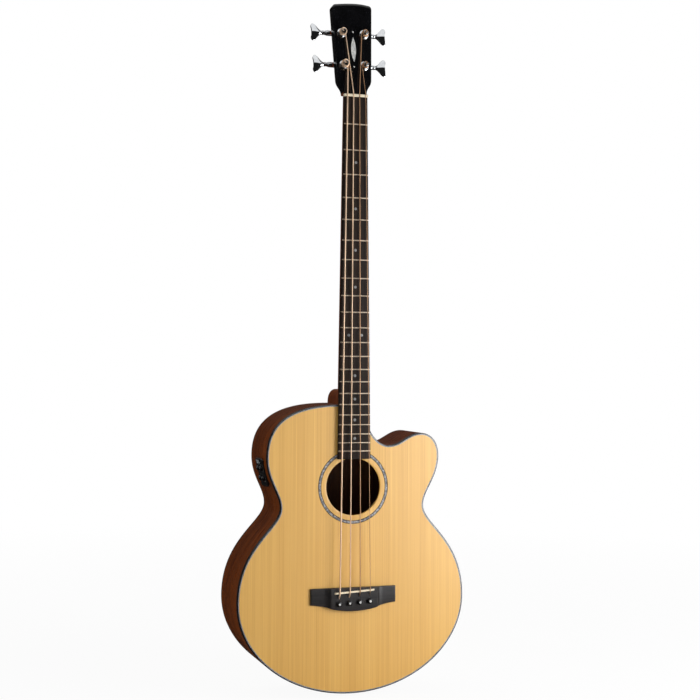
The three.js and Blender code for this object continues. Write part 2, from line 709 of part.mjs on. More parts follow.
const LINING_OUTER = SIDE_THICKNESS + GAP;
const LINING_INNER = LINING_OUTER + LINING_WIDTH;
const blockRoom = block(
  -BLOCK_BASS_X - GAP, BLOCK_TREBLE_X + 2 * LINING_INNER, -OVERRUN, BACK_REACH,
  BLOCK_Z - GAP, BODY_LENGTH + OVERRUN,
);
const tailRoom = block(
  -TAIL_BLOCK_WIDTH / 2 - GAP, TAIL_BLOCK_WIDTH / 2 + GAP, -OVERRUN, BACK_REACH + OVERRUN,
  -OVERRUN, TAIL_BLOCK_LENGTH + LINING_INNER,
);
const frontLining = cut(
  ring(LINING_OUTER, LINING_INNER, TOP_INSIDE, TOP_INSIDE + LINING_HEIGHT), blockRoom,
);
place('front_lining', frontLining, PALE_WOOD);
const backInside = BACK_THICKNESS + GAP;
place('back_lining', cut(
  ring(LINING_OUTER, LINING_INNER, 0, BACK_REACH), blockRoom,
).intersect(backLayer(backInside + LINING_HEIGHT, backInside)), PALE_WOOD);

const jackHole = solid(cylinder(JACK_RADIUS + GAP, -OVERRUN, REACH, 'z').translate(0, JACK_BACK, 0));
const tenonHole = block(
  -TENON_WIDTH / 2 - GAP, TENON_WIDTH / 2 + GAP, -OVERRUN, TENON_BACK + GAP,
  BODY_LENGTH - TENON_LENGTH - GAP, BODY_LENGTH + OVERRUN,
);
const sideRing = cut(
  ring(0, SIDE_THICKNESS, BINDING_HEIGHT + GAP, BACK_REACH).intersect(
    backLayer(DEPTH_AT_TAIL, BINDING_HEIGHT + GAP),
  ),
  jackHole, tenonHole,
);

// Frame of the preamp panel: x out of the side, y to the back, z up along the side
function sidePoint(outline, height) {
  const upper = outline.findIndex((point, index) => (
    point.x < -SHOULDER_X && point.y > height && outline[index + 1].y <= height
  ));
  const above = outline[upper];
  const below = outline[upper + 1];
  const share = (above.y - height) / (above.y - below.y);
  return above.clone().lerp(below, share);
}
const panelTop = sidePoint(OUTLINE, PANEL_HIGH);
const panelFoot = sidePoint(OUTLINE, PANEL_LOW);
const panelUp = panelTop.clone().sub(panelFoot).normalize();
const panelOut = new THREE.Vector2(-panelUp.y, panelUp.x);
const panelBulge = OUTLINE
  .filter((point) => point.x < 0 && point.y < PANEL_HIGH && point.y > PANEL_LOW)
  .reduce((most, point) => Math.max(most, point.clone().sub(panelFoot).dot(panelOut)), 0);
const panelMiddle = panelTop.clone().add(panelFoot).divideScalar(2)
  .addScaledVector(panelOut, panelBulge + GAP);
const panel = new THREE.Group();
panel.position.set(panelMiddle.x, backAt(panelMiddle.y) * PANEL_BACK_SHARE, panelMiddle.y);
panel.rotation.y = Math.atan2(panelUp.x, panelUp.y);
panel.updateMatrix();
guitar.add(panel);

// In the panel's frame +X points into the body, so the face is at negative x
const caseHalfLength = PANEL_LENGTH / 2 - CASE_MARGIN;
const caseHalfWidth = PANEL_WIDTH / 2 - CASE_MARGIN;
const caseOpening = solid(box(
  -OVERRUN, CASE_DEPTH,
  -caseHalfWidth - GAP, caseHalfWidth + GAP, -caseHalfLength - GAP, caseHalfLength + GAP,
).applyMatrix4(panel.matrix));
place('bass_side', cut(
  sideRing, block(-GAP / 2, REACH, -OVERRUN, REACH, -OVERRUN, REACH + BODY_LENGTH), caseOpening,
), MAHOGANY);
place('treble_side', cut(
  sideRing, block(-REACH, GAP / 2, -OVERRUN, REACH, -OVERRUN, REACH + BODY_LENGTH),
), MAHOGANY);

// Blocks inside the body
const rodGroove = block(
  -ROD_CHANNEL, ROD_CHANNEL, -OVERRUN, ROD_BACK + ROD_CHANNEL, -REACH, REACH + BODY_LENGTH,
);
const insideBack = backLayer(DEPTH_AT_TAIL, backInside);
const hollow = filled(LINING_OUTER, TOP_INSIDE, BACK_REACH).intersect(insideBack);
place('neck_block', cut(
  hollow.intersect(block(
    -BLOCK_BASS_X, BLOCK_TREBLE_X, -OVERRUN, BACK_REACH, BLOCK_Z, BODY_LENGTH,
  )),
  tenonHole, rodGroove,
), PALE_WOOD);
const tailSpace = filled(LINING_INNER + GAP, TOP_INSIDE, BACK_REACH).intersect(insideBack);
place('tail_block', cut(
  tailSpace.intersect(block(
    -TAIL_BLOCK_WIDTH / 2, TAIL_BLOCK_WIDTH / 2, -OVERRUN, BACK_REACH,
    -OVERRUN, TAIL_BLOCK_LENGTH + LINING_INNER,
  )),
  jackHole,
), PALE_WOOD);

// Bracing of the top: bars drawn by their two ends
function bar(x0, z0, x1, z1, width, height) {
  const length = Math.hypot(x1 - x0, z1 - z0);
  const geometry = box(-length / 2, length / 2, 0, height, -width / 2, width / 2);
  geometry.rotateY(-Math.atan2(z1 - z0, x1 - x0));
  return solid(geometry.translate((x0 + x1) / 2, TOP_INSIDE, (z0 + z1) / 2));
}
const braceRoom = filled(LINING_INNER + GAP, TOP_INSIDE, BACK_REACH);
const LEG_FOOT_SHARE = 0.566; // height of the legs' feet, of the bridge plate's lower edge
const legDrop = CROSS_HEIGHT - PLATE_LOW * LEG_FOOT_SHARE;
const LEG_RUN_SHARE = 0.844;
const ARM_RUN_SHARE = 0.771;
const legRun = LOWER_HALF_WIDTH * LEG_RUN_SHARE;
const armRise = UPPER_BRACE_HEIGHT - UPPER_BRACE_WIDTH - CROSS_HEIGHT;
const armRun = UPPER_HALF_WIDTH * ARM_RUN_SHARE;
const cross = [-1, 1].flatMap((side) => [
  bar(0, CROSS_HEIGHT, side * legRun, CROSS_HEIGHT - legDrop, BRACE_WIDTH, BRACE_HEIGHT),
  bar(0, CROSS_HEIGHT, side * armRun, CROSS_HEIGHT + armRise, BRACE_WIDTH, BRACE_HEIGHT),
  bar(side * BRACE_WIDTH / 2, CROSS_HEIGHT, -side * BRACE_WIDTH / 2, CROSS_HEIGHT,
    BRACE_WIDTH, BRACE_HEIGHT),
]);
// Each tone bar leaves the treble leg of the X and runs to the bass side, below the bridge plate:
// the heights of its ends are shares of the height of the plate's lower edge
const TONE_BAR_SHARES = [{ start: 1.045, end: 0.385 }, { start: 0.752, end: 0.2265 }];
const toneBars = TONE_BAR_SHARES.map(({ start, end }, index) => bar(
  legRun * (CROSS_HEIGHT - PLATE_LOW * start) / legDrop, PLATE_LOW * start,
  -LOWER_HALF_WIDTH * (1 - index) / 2, PLATE_LOW * end, BRACE_WIDTH, TONE_BRACE_HEIGHT,
));
// A brace that crosses the bridge plate is notched over it
const plateNotch = block(
  -PLATE_HALF_LENGTH - GAP, PLATE_HALF_LENGTH + GAP,
  -OVERRUN, TOP_INSIDE + PLATE_THICKNESS + GAP,
  PLATE_LOW - GAP, BRIDGE_TOP_Z + PLATE_MARGIN + GAP,
);
place('x_brace', cut(
  join(...cross, ...toneBars).intersect(braceRoom), tailRoom, plateNotch,
), SPRUCE);
const rodAccess = solid(cylinder(
  ROD_NUT_RADIUS + ROD_CHANNEL, 0, BODY_LENGTH, 'z', SMALL_STEPS,
).translate(0, ROD_BACK, 0));
place('upper_brace', cut(
  bar(-REACH, UPPER_BRACE_HEIGHT, REACH, UPPER_BRACE_HEIGHT, UPPER_BRACE_WIDTH, BRACE_HEIGHT)
    .intersect(braceRoom),
  rodAccess,
), SPRUCE);
place('bridge_plate', cut(
  block(
    -PLATE_HALF_LENGTH, PLATE_HALF_LENGTH, TOP_INSIDE, TOP_INSIDE + PLATE_THICKNESS,
    PLATE_LOW, BRIDGE_TOP_Z + PLATE_MARGIN,
  ),
  ...pinHoles, ...stringHoles,
), PALE_WOOD);

// Ladder braces across the back, joined by the strip over its centre seam
const BACK_BRACE_SHARES = [0.14, 0.34, 0.58, 0.8];
const backRoom = filled(LINING_INNER + GAP, 0, BACK_REACH);
const ladder = BACK_BRACE_SHARES.map((share) => block(
  -REACH, REACH, -OVERRUN, BACK_REACH,
  BODY_LENGTH * share - BACK_BRACE_WIDTH / 2, BODY_LENGTH * share + BACK_BRACE_WIDTH / 2,
));
const ladderLayer = backLayer(backInside + BRACE_HEIGHT, backInside);
const stripLayer = backLayer(backInside + BACK_STRIP_HEIGHT, backInside);
const strip = block(
  -BACK_STRIP_WIDTH / 2, BACK_STRIP_WIDTH / 2, -OVERRUN, BACK_REACH,
  TAIL_BLOCK_LENGTH + LINING_INNER + GAP, BLOCK_Z - GAP,
).intersect(stripLayer);
place('back_bracing', join(strip, join(...ladder).intersect(ladderLayer)).intersect(backRoom), SPRUCE);

// Neck: shaft, heel, tenon and head in one piece of wood
const neckHalfWidth = (z) => {
  const share = (NUT_Z - z) / BOARD_LENGTH;
  return (NUT_WIDTH + (BOARD_END_WIDTH - NUT_WIDTH) * share) / 2;
};
const neckDepth = (z) => {
  const share = (NUT_Z - z) / (NUT_Z - BODY_LENGTH);
  return NECK_DEPTH_AT_NUT + (NECK_DEPTH_AT_JOINT - NECK_DEPTH_AT_NUT) * share;
};
const NECK_FULLNESS_SHARE = 0.8; // below 1 the back of the neck is rounder than an ellipse
function neckRing(z) {
  const half = neckHalfWidth(z);
  const depth = neckDepth(z);
  return Array.from({ length: NECK_SECTION_STEPS + 1 }, (_, step) => {
    const angle = (Math.PI * step) / NECK_SECTION_STEPS;
    const fall = Math.sin(angle) ** NECK_FULLNESS_SHARE;
    return new THREE.Vector3(half * Math.cos(angle), depth * fall, z);
  });
}
const HEEL_START = BODY_LENGTH + GAP;
const shaft = solid(loft([
  neckRing(HEEL_START), neckRing(NUT_Z + NUT_LENGTH + GAP),
]));
const heelBack = backAt(BODY_LENGTH) - HEEL_CAP_THICKNESS - GAP;
// Stations of the heel: depth, half width and length as shares of their ranges
const HEEL_SHARES = [
  { depth: 0, width: 1, length: 1 },
  { depth: 0.04, width: 0.98, length: 0.75 },
  { depth: 0.1, width: 0.9, length: 0.5 },
  { depth: 0.2, width: 0.72, length: 0.28 },
  { depth: 0.38, width: 0.45, length: 0.11 },
  { depth: 0.65, width: 0.18, length: 0.03 },
  { depth: 1, width: 0, length: 0 },
];
function heelRing({ depth, width, length }, reach) {
  const front = NECK_DEPTH_AT_JOINT / 2;
  const y = front + (reach - front) * depth;
  const half = HEEL_CAP_HALF_WIDTH + (HEEL_HALF_WIDTH - HEEL_CAP_HALF_WIDTH) * width;
  const long = HEEL_CAP_LENGTH + (HEEL_ROOT_LENGTH - HEEL_CAP_LENGTH) * length;
  return Array.from({ length: NECK_SECTION_STEPS + 1 }, (_, step) => {
    const angle = (Math.PI * step) / NECK_SECTION_STEPS;
    const rise = Math.sin(angle) ** NECK_FULLNESS_SHARE;
    return new THREE.Vector3(-half * Math.cos(angle), y, HEEL_START + long * rise);
  });
}
const heel = solid(loft(HEEL_SHARES.map((station) => heelRing(station, heelBack))));
const tenon = block(
  -TENON_WIDTH / 2, TENON_WIDTH / 2, TOP_INSIDE + GAP, TENON_BACK,
  BODY_LENGTH - TENON_LENGTH, HEEL_START + TENON_LENGTH,
);

// Outline of the head in its own frame: x across, z along from the nut
function headOutline() {
  const low = HEAD_LOW_WIDTH / 2;
  const top = HEAD_TOP_WIDTH / 2;
  const foot = NUT_WIDTH / 2;
  const path = new THREE.Path();
  path.moveTo(foot, 0);
  path.bezierCurveTo(
    foot, HEAD_SHOULDER / 2, low, HEAD_SHOULDER / 2, low, HEAD_SHOULDER,
  );
  const trebleTop = HEAD_LENGTH - HEAD_TREBLE_DROP;
  const bassTop = HEAD_LENGTH - HEAD_BASS_DROP;
  path.lineTo(top, trebleTop - HEAD_CORNER);
  path.quadraticCurveTo(top, trebleTop, top - HEAD_CORNER, trebleTop);
  path.quadraticCurveTo(
    HEAD_CROWN_X, HEAD_LENGTH + HEAD_CROWN_RISE, HEAD_CORNER - top, bassTop,
  );
  path.quadraticCurveTo(-top, bassTop, -top, bassTop - HEAD_CORNER);
  path.lineTo(-low, HEAD_SHOULDER);
  path.bezierCurveTo(
    -low, HEAD_SHOULDER / 2, -foot, HEAD_SHOULDER / 2, -foot, 0,
  );
  return path.getPoints(HEAD_STEPS);
}
const HEAD_OUTLINE = headOutline();
const headWood = solid(onHead(plate(HEAD_OUTLINE, [], 0, HEAD_THICKNESS)));
const shankBore = ({ x, z }) => (
  cylinder(FERRULE_SHANK_RADIUS + GAP, -OVERRUN, HEAD_THICKNESS + OVERRUN, 'y').translate(x, 0, z)
);
const headBores = MACHINES.map((machine) => solid(onHead(shankBore(machine))));
// A wedge of wood fills the angle between the shaft and the leaning head behind the nut
const throat = solid(loft([
  neckRing(NUT_Z), neckRing(NUT_Z + NUT_LENGTH + HEAD_SHOULDER / 2),
])).intersect(solid(onHead(box(
  -NUT_WIDTH, NUT_WIDTH, 0, HEAD_THICKNESS, -HEAD_SHOULDER, HEAD_SHOULDER,
))));
const rodRoom = block(
  -ROD_CHANNEL, ROD_CHANNEL, -OVERRUN, ROD_BACK + ROD_CHANNEL,
  BODY_LENGTH - TENON_LENGTH - OVERRUN, NUT_Z - ROD_TOP_FROM_NUT + GAP,
);
place('neck', cut(join(shaft, heel, tenon, throat, headWood), rodRoom, ...headBores), MAHOGANY);
place('heel_cap', prism(
  heelRing(HEEL_SHARES.at(-1), heelBack).map(({ x, z }) => new THREE.Vector2(x, z)),
  [], -backAt(BODY_LENGTH), -heelBack - GAP, AXES.x, AXES.z,
), BLACK_GLOSS);

// Truss rod and its adjusting nut, which turns on the rod's end inside the body
const ROD_END = BLOCK_Z - GAP;
place('truss_rod', cylinder(
  ROD_RADIUS, ROD_END - ROD_NUT_LENGTH / 2, NUT_Z - ROD_TOP_FROM_NUT, 'z', SMALL_STEPS,
).translate(0, ROD_BACK, 0), STEEL);
const rodNut = place('truss_rod_nut', cut(
  solid(cylinder(ROD_NUT_RADIUS, -ROD_NUT_LENGTH - ROD_KEY_DEPTH, -GAP, 'z', SMALL_STEPS)),
  solid(cylinder(ROD_RADIUS + GAP, -ROD_NUT_LENGTH / 2 - GAP, OVERRUN, 'z', SMALL_STEPS)),
  solid(cylinder(ROD_KEY_RADIUS, -REACH, -ROD_NUT_LENGTH, 'z', HEXAGON)),
), STEEL);
rodNut.position.set(0, ROD_BACK, ROD_END);

// Fretboard, cambered across, with its frets
function boardRing(z, top, sink, margin = 0) {
  const half = neckHalfWidth(z) - margin;
  const ringPoints = [];
  for (let step = 0; step <= BOARD_SAG_STEPS; step += 1) {
    const x = half * ((2 * step) / BOARD_SAG_STEPS - 1);
    const sag = BOARD_RADIUS - Math.sqrt(BOARD_RADIUS ** 2 - x ** 2);
    ringPoints.push(new THREE.Vector3(x, -top + sag, z));
  }
  ringPoints.push(new THREE.Vector3(half, -sink, z), new THREE.Vector3(-half, -sink, z));
  return ringPoints;
}
const board = solid(loft([
  boardRing(NUT_Z - BOARD_LENGTH, BOARD_TOP, GAP), boardRing(NUT_Z - GAP, BOARD_TOP, GAP),
]));
const FRET_SHARES = [{ z: -0.5, height: 0 }, { z: 0, height: 1 }, { z: 0.5, height: 0 }];
const frets = Array.from({ length: FRET_COUNT }, (_, index) => {
  const z = NUT_Z - fretDistance(index + 1);
  return solid(loft(FRET_SHARES.map((share) => boardRing(
    z + FRET_WIDTH * share.z, BOARD_TOP + FRET_HEIGHT * share.height,
    BOARD_TOP - FRET_SINK, GAP,
  ))));
});
place('fretboard', join(board, ...frets), ROSEWOOD);

// Nut, its grooves cut by the strings' own ways
const nutHeight = FRET_TOP + NUT_CLEARANCE + STRING_DIAMETERS[0] / 2;
place('nut', cut(
  block(-NUT_WIDTH / 2, NUT_WIDTH / 2, -nutHeight, -GAP, NUT_Z, NUT_Z + NUT_LENGTH),
  ...STRING_WAYS.map((way) => way.nut),
), BONE);

// Head veneer and its inlay
const inlayOutline = (half, long) => {
  const middle = (POST_LOW + POST_HIGH) / 2;
  const path = new THREE.Path();
  path.moveTo(0, middle - long);
  path.quadraticCurveTo(half * 2, middle, 0, middle + long);
  path.quadraticCurveTo(-half * 2, middle, 0, middle - long);
  const points = path.getPoints(HEAD_STEPS);
  points.pop();
  return points;
};
const inlaySeat = plate(
  inlayOutline(INLAY_WIDTH / 2 + GAP, INLAY_LENGTH / 2 + 2 * GAP), [],
  VENEER_FACE - OVERRUN, VENEER_FACE + INLAY_DEPTH + GAP / 2,
);
place('headstock_veneer', cut(
  solid(plate(HEAD_OUTLINE, [], VENEER_FACE, -GAP)),
  solid(inlaySeat), ...MACHINES.map((machine) => solid(shankBore(machine))),
), BLACK_GLOSS, head);
place('headstock_inlay', plate(
  inlayOutline(INLAY_WIDTH / 2, INLAY_LENGTH / 2), [], VENEER_FACE, VENEER_FACE + INLAY_DEPTH,
), PEARL, head);

// Bridge with its saddle, pickup and pins
function bridgeOutline() {
  const low = BRIDGE_TOP_Z - BRIDGE_WING_DEPTH;
  const belly = BRIDGE_TOP_Z - BRIDGE_BELLY_DEPTH;
  const knee = BRIDGE_WING_START + (BRIDGE_HALF_LENGTH - BRIDGE_WING_START) / 2;
  const path = new THREE.Path();
  path.moveTo(-BRIDGE_HALF_LENGTH, BRIDGE_TOP_Z);
  path.lineTo(-BRIDGE_HALF_LENGTH, low);
  path.lineTo(-knee, low);
  path.quadraticCurveTo(-BRIDGE_WING_START, low, -BRIDGE_WING_START, (low + belly) / 2);
  path.quadraticCurveTo(-BRIDGE_WING_START / 2, belly, 0, belly);
  path.quadraticCurveTo(BRIDGE_WING_START / 2, belly, BRIDGE_WING_START, (low + belly) / 2);
  path.quadraticCurveTo(BRIDGE_WING_START, low, knee, low);
  path.lineTo(BRIDGE_HALF_LENGTH, low);
  path.lineTo(BRIDGE_HALF_LENGTH, BRIDGE_TOP_Z);
  return path.getPoints(BRIDGE_STEPS);
}
const WING_SHARES = [
  { x: 0, height: 1 }, { x: 0.12, height: 0.45 }, { x: 0.3, height: 0.15 }, { x: 1, height: 0 },
];
function wingCut(side) {
  const span = BRIDGE_HALF_LENGTH - BRIDGE_WING_START;
  const fall = BRIDGE_HEIGHT - BRIDGE_WING_HEIGHT;
  const corners = WING_SHARES.map(({ x, height }) => new THREE.Vector2(
    side * (BRIDGE_WING_START + span * x), -BRIDGE_WING_HEIGHT - fall * height,
  ));
  corners.push(
    new THREE.Vector2(side * (BRIDGE_HALF_LENGTH + OVERRUN), -BRIDGE_WING_HEIGHT),
    new THREE.Vector2(side * (BRIDGE_HALF_LENGTH + OVERRUN), -BRIDGE_HEIGHT - OVERRUN),
    new THREE.Vector2(side * BRIDGE_WING_START, -BRIDGE_HEIGHT - OVERRUN),
  );
  return solid(prism(corners, [], 0, REACH, AXES.x, AXES.y));
}
const slanted = (geometry) => (
  geometry.rotateY(-radians(SADDLE_SLANT)).translate(0, 0, SADDLE_Z)
);
const saddleBox = (grow, front, back) => slanted(box(
  -SADDLE_LENGTH / 2 - grow, SADDLE_LENGTH / 2 + grow, front, back,
  -SADDLE_WIDTH / 2 - grow, SADDLE_WIDTH / 2 + grow,
));
place('bridge', cut(
  solid(plate(bridgeOutline(), [], -BRIDGE_HEIGHT, -GAP)),
  wingCut(-1), wingCut(1), solid(saddleBox(GAP, -SADDLE_TOP, -SADDLE_SEAT)),
  ...pinHoles, ...STRING_WAYS.map((way) => way.bridge),
), BLACK_SATIN);
const pickupTop = SADDLE_SEAT + GAP + PICKUP_HEIGHT;
place('saddle_pickup', saddleBox(0, -pickupTop, -SADDLE_SEAT - GAP), STEEL);
place('saddle', saddleBox(0, -SADDLE_TOP, -pickupTop - GAP), BONE);
const pinHeadBase = BRIDGE_HEIGHT + GAP;
const PIN_PROFILE = [
  [0, -PIN_TIP], [PIN_TIP_RADIUS, -PIN_TIP], [PIN_RADIUS, pinHeadBase],
  [PIN_HEAD_RADIUS, pinHeadBase], [PIN_HEAD_RADIUS, pinHeadBase + PIN_HEAD_HEIGHT / 2],
  [PIN_HEAD_RADIUS / 2, pinHeadBase + PIN_HEAD_HEIGHT], [0, pinHeadBase + PIN_HEAD_HEIGHT],
];
PINS.forEach(({ x, z }, index) => {
  const pin = place(
    `bridge_pin_${MACHINES[index].name}`,
    turned(PIN_PROFILE, 'y', SMALL_STEPS).rotateX(Math.PI), BLACK_GLOSS,
  );
  pin.position.set(x, 0, z);
});

// Strings, each one unbroken wire with a ball end under the bridge plate
STRING_NAMES.forEach((name, index) => {
  const { x, y, z } = ROUTES[index][0];
  const ball = solid(
    cylinder(BALL_RADIUS, -BALL_RADIUS, BALL_RADIUS, 'x', SMALL_STEPS).translate(x, y, z),
  );
  place(name, join(stringTube(index, 0), ball), BRONZE);
});

// Tuning machines. The worm lies above the gear, on the side of the head's top.
function gearOutline() {
  return Array.from({ length: 2 * GEAR_TEETH }, (_, step) => {
    const radius = step % 2 === 0 ? GEAR_RADIUS : GEAR_RADIUS - TOOTH_HEIGHT;
    const angle = Math.PI / 2 + (Math.PI * step) / GEAR_TEETH;
    return new THREE.Vector2(radius * Math.cos(angle), radius * Math.sin(angle));
  });
}

function tunerPost(index) {
  const { slot } = wrap(index);
  const back = WORM_Y + GEAR_THICKNESS / 2;
  const front = WORM_Y - GEAR_THICKNESS / 2;
  const neckEnd = WORM_Y - WORM_RADIUS - GAP;
  const radius = STRING_DIAMETERS[index] / 2;
  const stem = turned([
    [0, -front - GEAR_THICKNESS / 2], [POST_HUB_RADIUS, -front - GEAR_THICKNESS / 2],
    [POST_HUB_RADIUS, -neckEnd], [POST_RADIUS, -neckEnd], [POST_RADIUS, POST_TOP - GAP],
    [POST_RADIUS - GAP, POST_TOP], [0, POST_TOP],
  ], 'y').rotateX(Math.PI);
  const pin = cylinder(POST_PIN_RADIUS, front, back + GEAR_THICKNESS / 2, 'y', SMALL_STEPS);
  const gear = plate(gearOutline(), [], front, back);
  const slotCut = box(
    -POST_SLOT_WIDTH / 2, POST_SLOT_WIDTH / 2, -POST_TOP - OVERRUN,
    -WRAP_TOP + radius + GAP, -OVERRUN, OVERRUN,
  ).rotateY(Math.PI / 2 - slot);
  return cut(join(solid(stem), solid(pin), solid(gear)), solid(slotCut));
}

const KEY_SHARES = [
  { x: 0, height: 0 }, { x: 0.14, height: 0.02 }, { x: 0.3, height: 0.16 }, { x: 0.46, height: 0.46 },
  { x: 0.6, height: 0.76 }, { x: 0.74, height: 0.95 }, { x: 0.86, height: 1 }, { x: 0.95, height: 0.9 },
  { x: 1, height: 0.72 },
];
function keyWings(side) {
  const waist = KEY_WAIST / 2;
  const rings = KEY_SHARES.map(({ x, height }) => {
    const along = KEY_START + KEY_LENGTH * x;
    const half = waist + (KEY_HEIGHT / 2 - waist) * height;
    const ridge = KEY_RIDGE / 2;
    const edge = KEY_EDGE / 2;
    const corners = [
      [ridge, 0], [edge, half], [-edge, half], [-ridge, 0], [-edge, -half], [edge, -half],
    ];
    const ringPoints = corners.map(([y, z]) => new THREE.Vector3(side * along, y, z));
    return side > 0 ? ringPoints : ringPoints.reverse();
  });
  const scoop = cylinder(KEY_SCOOP_RADIUS, -OVERRUN, OVERRUN, 'y', ROUND_STEPS).translate(
    side * (KEY_START + KEY_LENGTH - KEY_SCOOP_DEPTH + KEY_SCOOP_RADIUS), 0, 0,
  );
  return cut(solid(loft(rings)), solid(scoop));
}

function tunerKey(side) {
  const profile = [
    [0, -WORM_END], [SHAFT_RADIUS, -WORM_END], [SHAFT_RADIUS, -WORM_HALF_LENGTH],
    [WORM_RADIUS, -WORM_HALF_LENGTH], [WORM_RADIUS, WORM_HALF_LENGTH],
    [SHAFT_RADIUS, WORM_HALF_LENGTH], [SHAFT_RADIUS, BOSS_END / 2],
    [SHAFT_OUTER_RADIUS, BOSS_END / 2], [SHAFT_OUTER_RADIUS, BOSS_END + GAP],
    [COLLAR_RADIUS, BOSS_END + GAP], [COLLAR_RADIUS, KEY_START + GAP], [0, KEY_START + GAP],
  ];
  const shaft = turned(profile, 'x', SMALL_STEPS);
  if (side < 0) shaft.rotateY(Math.PI);
  return join(solid(shaft), keyWings(side));
}

// Cast housing: open towards the head for the gear, and at its boss for the key's shaft
function tunerHousing(side) {
  const front = HEAD_THICKNESS + GAP;
  const back = front + HOUSING_DEPTH;
  const shell = box(
    -HOUSING_HALF_WIDTH, HOUSING_HALF_WIDTH, front, back, -HOUSING_LOW, HOUSING_HIGH,
  );
  const alongShaft = (radius, from, to) => solid(cylinder(
    radius, Math.min(side * from, side * to), Math.max(side * from, side * to), 'x', SMALL_STEPS,
  ).translate(0, WORM_Y, WORM_OFFSET));
  const boss = alongShaft(BOSS_RADIUS, 0, BOSS_END);
  const gearRoom = cylinder(
    GEAR_RADIUS + TOOTH_HEIGHT, front - OVERRUN, WORM_Y + GEAR_THICKNESS + GAP, 'y',
    SMALL_STEPS,
  );
  return cut(
    join(solid(shell), boss), solid(gearRoom),
    alongShaft(WORM_RADIUS + GAP, -WORM_HALF_LENGTH - GAP, WORM_HALF_LENGTH + GAP),
    alongShaft(SHAFT_RADIUS + GAP, -WORM_END - GAP, BOSS_END),
    alongShaft(SHAFT_OUTER_RADIUS + GAP, BOSS_END / 2 - GAP, BOSS_END + OVERRUN),
  );
}

const FERRULE_FRONT = VENEER_FACE - GAP - FERRULE_THICKNESS;
const FERRULE_PROFILE = [
  [POST_RADIUS + GAP, -FERRULE_SHANK_LENGTH], [FERRULE_SHANK_RADIUS, -FERRULE_SHANK_LENGTH],
  [FERRULE_SHANK_RADIUS, -VENEER_FACE + GAP], [FERRULE_RADIUS, -VENEER_FACE + GAP],
  [FERRULE_RADIUS - GAP, -FERRULE_FRONT], [POST_RADIUS + GAP, -FERRULE_FRONT],
  [POST_RADIUS + GAP, -FERRULE_SHANK_LENGTH],
];
MACHINES.forEach(({ name, side, x, z }, index) => {
  place(`tuner_post_${name}`, tunerPost(index), CHROME, head).position.set(x, 0, z);
  const key = place(`tuner_key_${name}`, tunerKey(side), CHROME, head);
  key.position.set(x, WORM_Y, z + WORM_OFFSET);
  place(`tuner_housing_${name}`, tunerHousing(side), CHROME, head).position.set(x, 0, z);
  const ferrule = turned(FERRULE_PROFILE, 'y').rotateX(Math.PI);
  place(`tuner_ferrule_${name}`, ferrule, CHROME, head).position.set(x, 0, z);
});

// Preamp in the bass side: a panel outside, its case inside, knobs and a button
const panelFace = -PANEL_THICKNESS;
const knobHoles = KNOB_ROWS.flatMap((z) => KNOB_COLUMNS.map((y) => ({ y, z })));
const stemHole = (radius, y, z) => (
  solid(cylinder(radius, -REACH, KNOB_STEM_LENGTH, 'x', SMALL_STEPS).translate(0, y, z))
);
const panelHoles = [
  ...knobHoles.map(({ y, z }) => stemHole(KNOB_STEM_RADIUS + GAP, y, z)),
  stemHole(BUTTON_RADIUS + GAP, BUTTON_ACROSS, BUTTON_UP),
];
place('preamp_panel', cut(
  solid(box(
    panelFace, 0, -PANEL_WIDTH / 2, PANEL_WIDTH / 2, -PANEL_LENGTH / 2, PANEL_LENGTH / 2,
  )),
  ...panelHoles,
), BLACK_SATIN, panel);
place('preamp_case', cut(
  solid(box(
    GAP, CASE_DEPTH, -caseHalfWidth, caseHalfWidth, -caseHalfLength, caseHalfLength,
  )),
  ...panelHoles,
), BLACK_SATIN, panel);
const KNOB_NAMES = ['treble_knob', 'volume_knob', 'middle_knob', 'bass_knob'];
const knobProfile = [
  [0, 0], [KNOB_STEM_RADIUS, 0], [KNOB_STEM_RADIUS, KNOB_STEM_LENGTH],
  [KNOB_RADIUS, KNOB_STEM_LENGTH], [KNOB_RADIUS - GAP, KNOB_STEM_LENGTH + KNOB_HEIGHT],
  [0, KNOB_STEM_LENGTH + KNOB_HEIGHT],
];
knobHoles.forEach(({ y, z }, index) => {
  const knob = turned(knobProfile, 'y').rotateZ(Math.PI / 2);
  const mesh = place(KNOB_NAMES[index], knob, BLACK_GLOSS, panel);
  mesh.position.set(panelFace + KNOB_STEM_LENGTH - GAP, y, z);
});
const button = place('tuner_button', cylinder(
  BUTTON_RADIUS, -BUTTON_HEIGHT, PANEL_THICKNESS + BUTTON_TRAVEL, 'x', SMALL_STEPS,
), BLACK_GLOSS, panel);
button.position.set(panelFace, BUTTON_ACROSS, BUTTON_UP);

// Output: jack in the tail, battery on the neck block and the lead between case and jack
const jackProfile = [
  [0, JACK_BORE_DEPTH], [JACK_BORE_RADIUS, JACK_BORE_DEPTH],
  [JACK_BORE_RADIUS, -JACK_RING_THICKNESS], [JACK_RING_RADIUS, -JACK_RING_THICKNESS],
  [JACK_RING_RADIUS, -GAP], [JACK_RADIUS, -GAP], [JACK_RADIUS, JACK_LENGTH], [0, JACK_LENGTH],
];
place('endpin_jack', turned(jackProfile, 'z'), CHROME).position.set(0, JACK_BACK, 0);
const blockMiddle = (BLOCK_TREBLE_X - BLOCK_BASS_X) / 2;
place('battery', box(
  blockMiddle - BATTERY_WIDTH / 2, blockMiddle + BATTERY_WIDTH / 2,
  BATTERY_FRONT, BATTERY_FRONT + BATTERY_DEPTH,
  BLOCK_Z - GAP - BATTERY_THICKNESS, BLOCK_Z - GAP,
), BLACK_SATIN);

const leadFrom = (below) => (
  new THREE.Vector3(CASE_DEPTH / 2, 0, -caseHalfLength - below).applyMatrix4(panel.matrix)
);
const leadStart = leadFrom(2 * GAP);
const leadEnd = new THREE.Vector3(0, JACK_BACK, JACK_LENGTH + GAP);
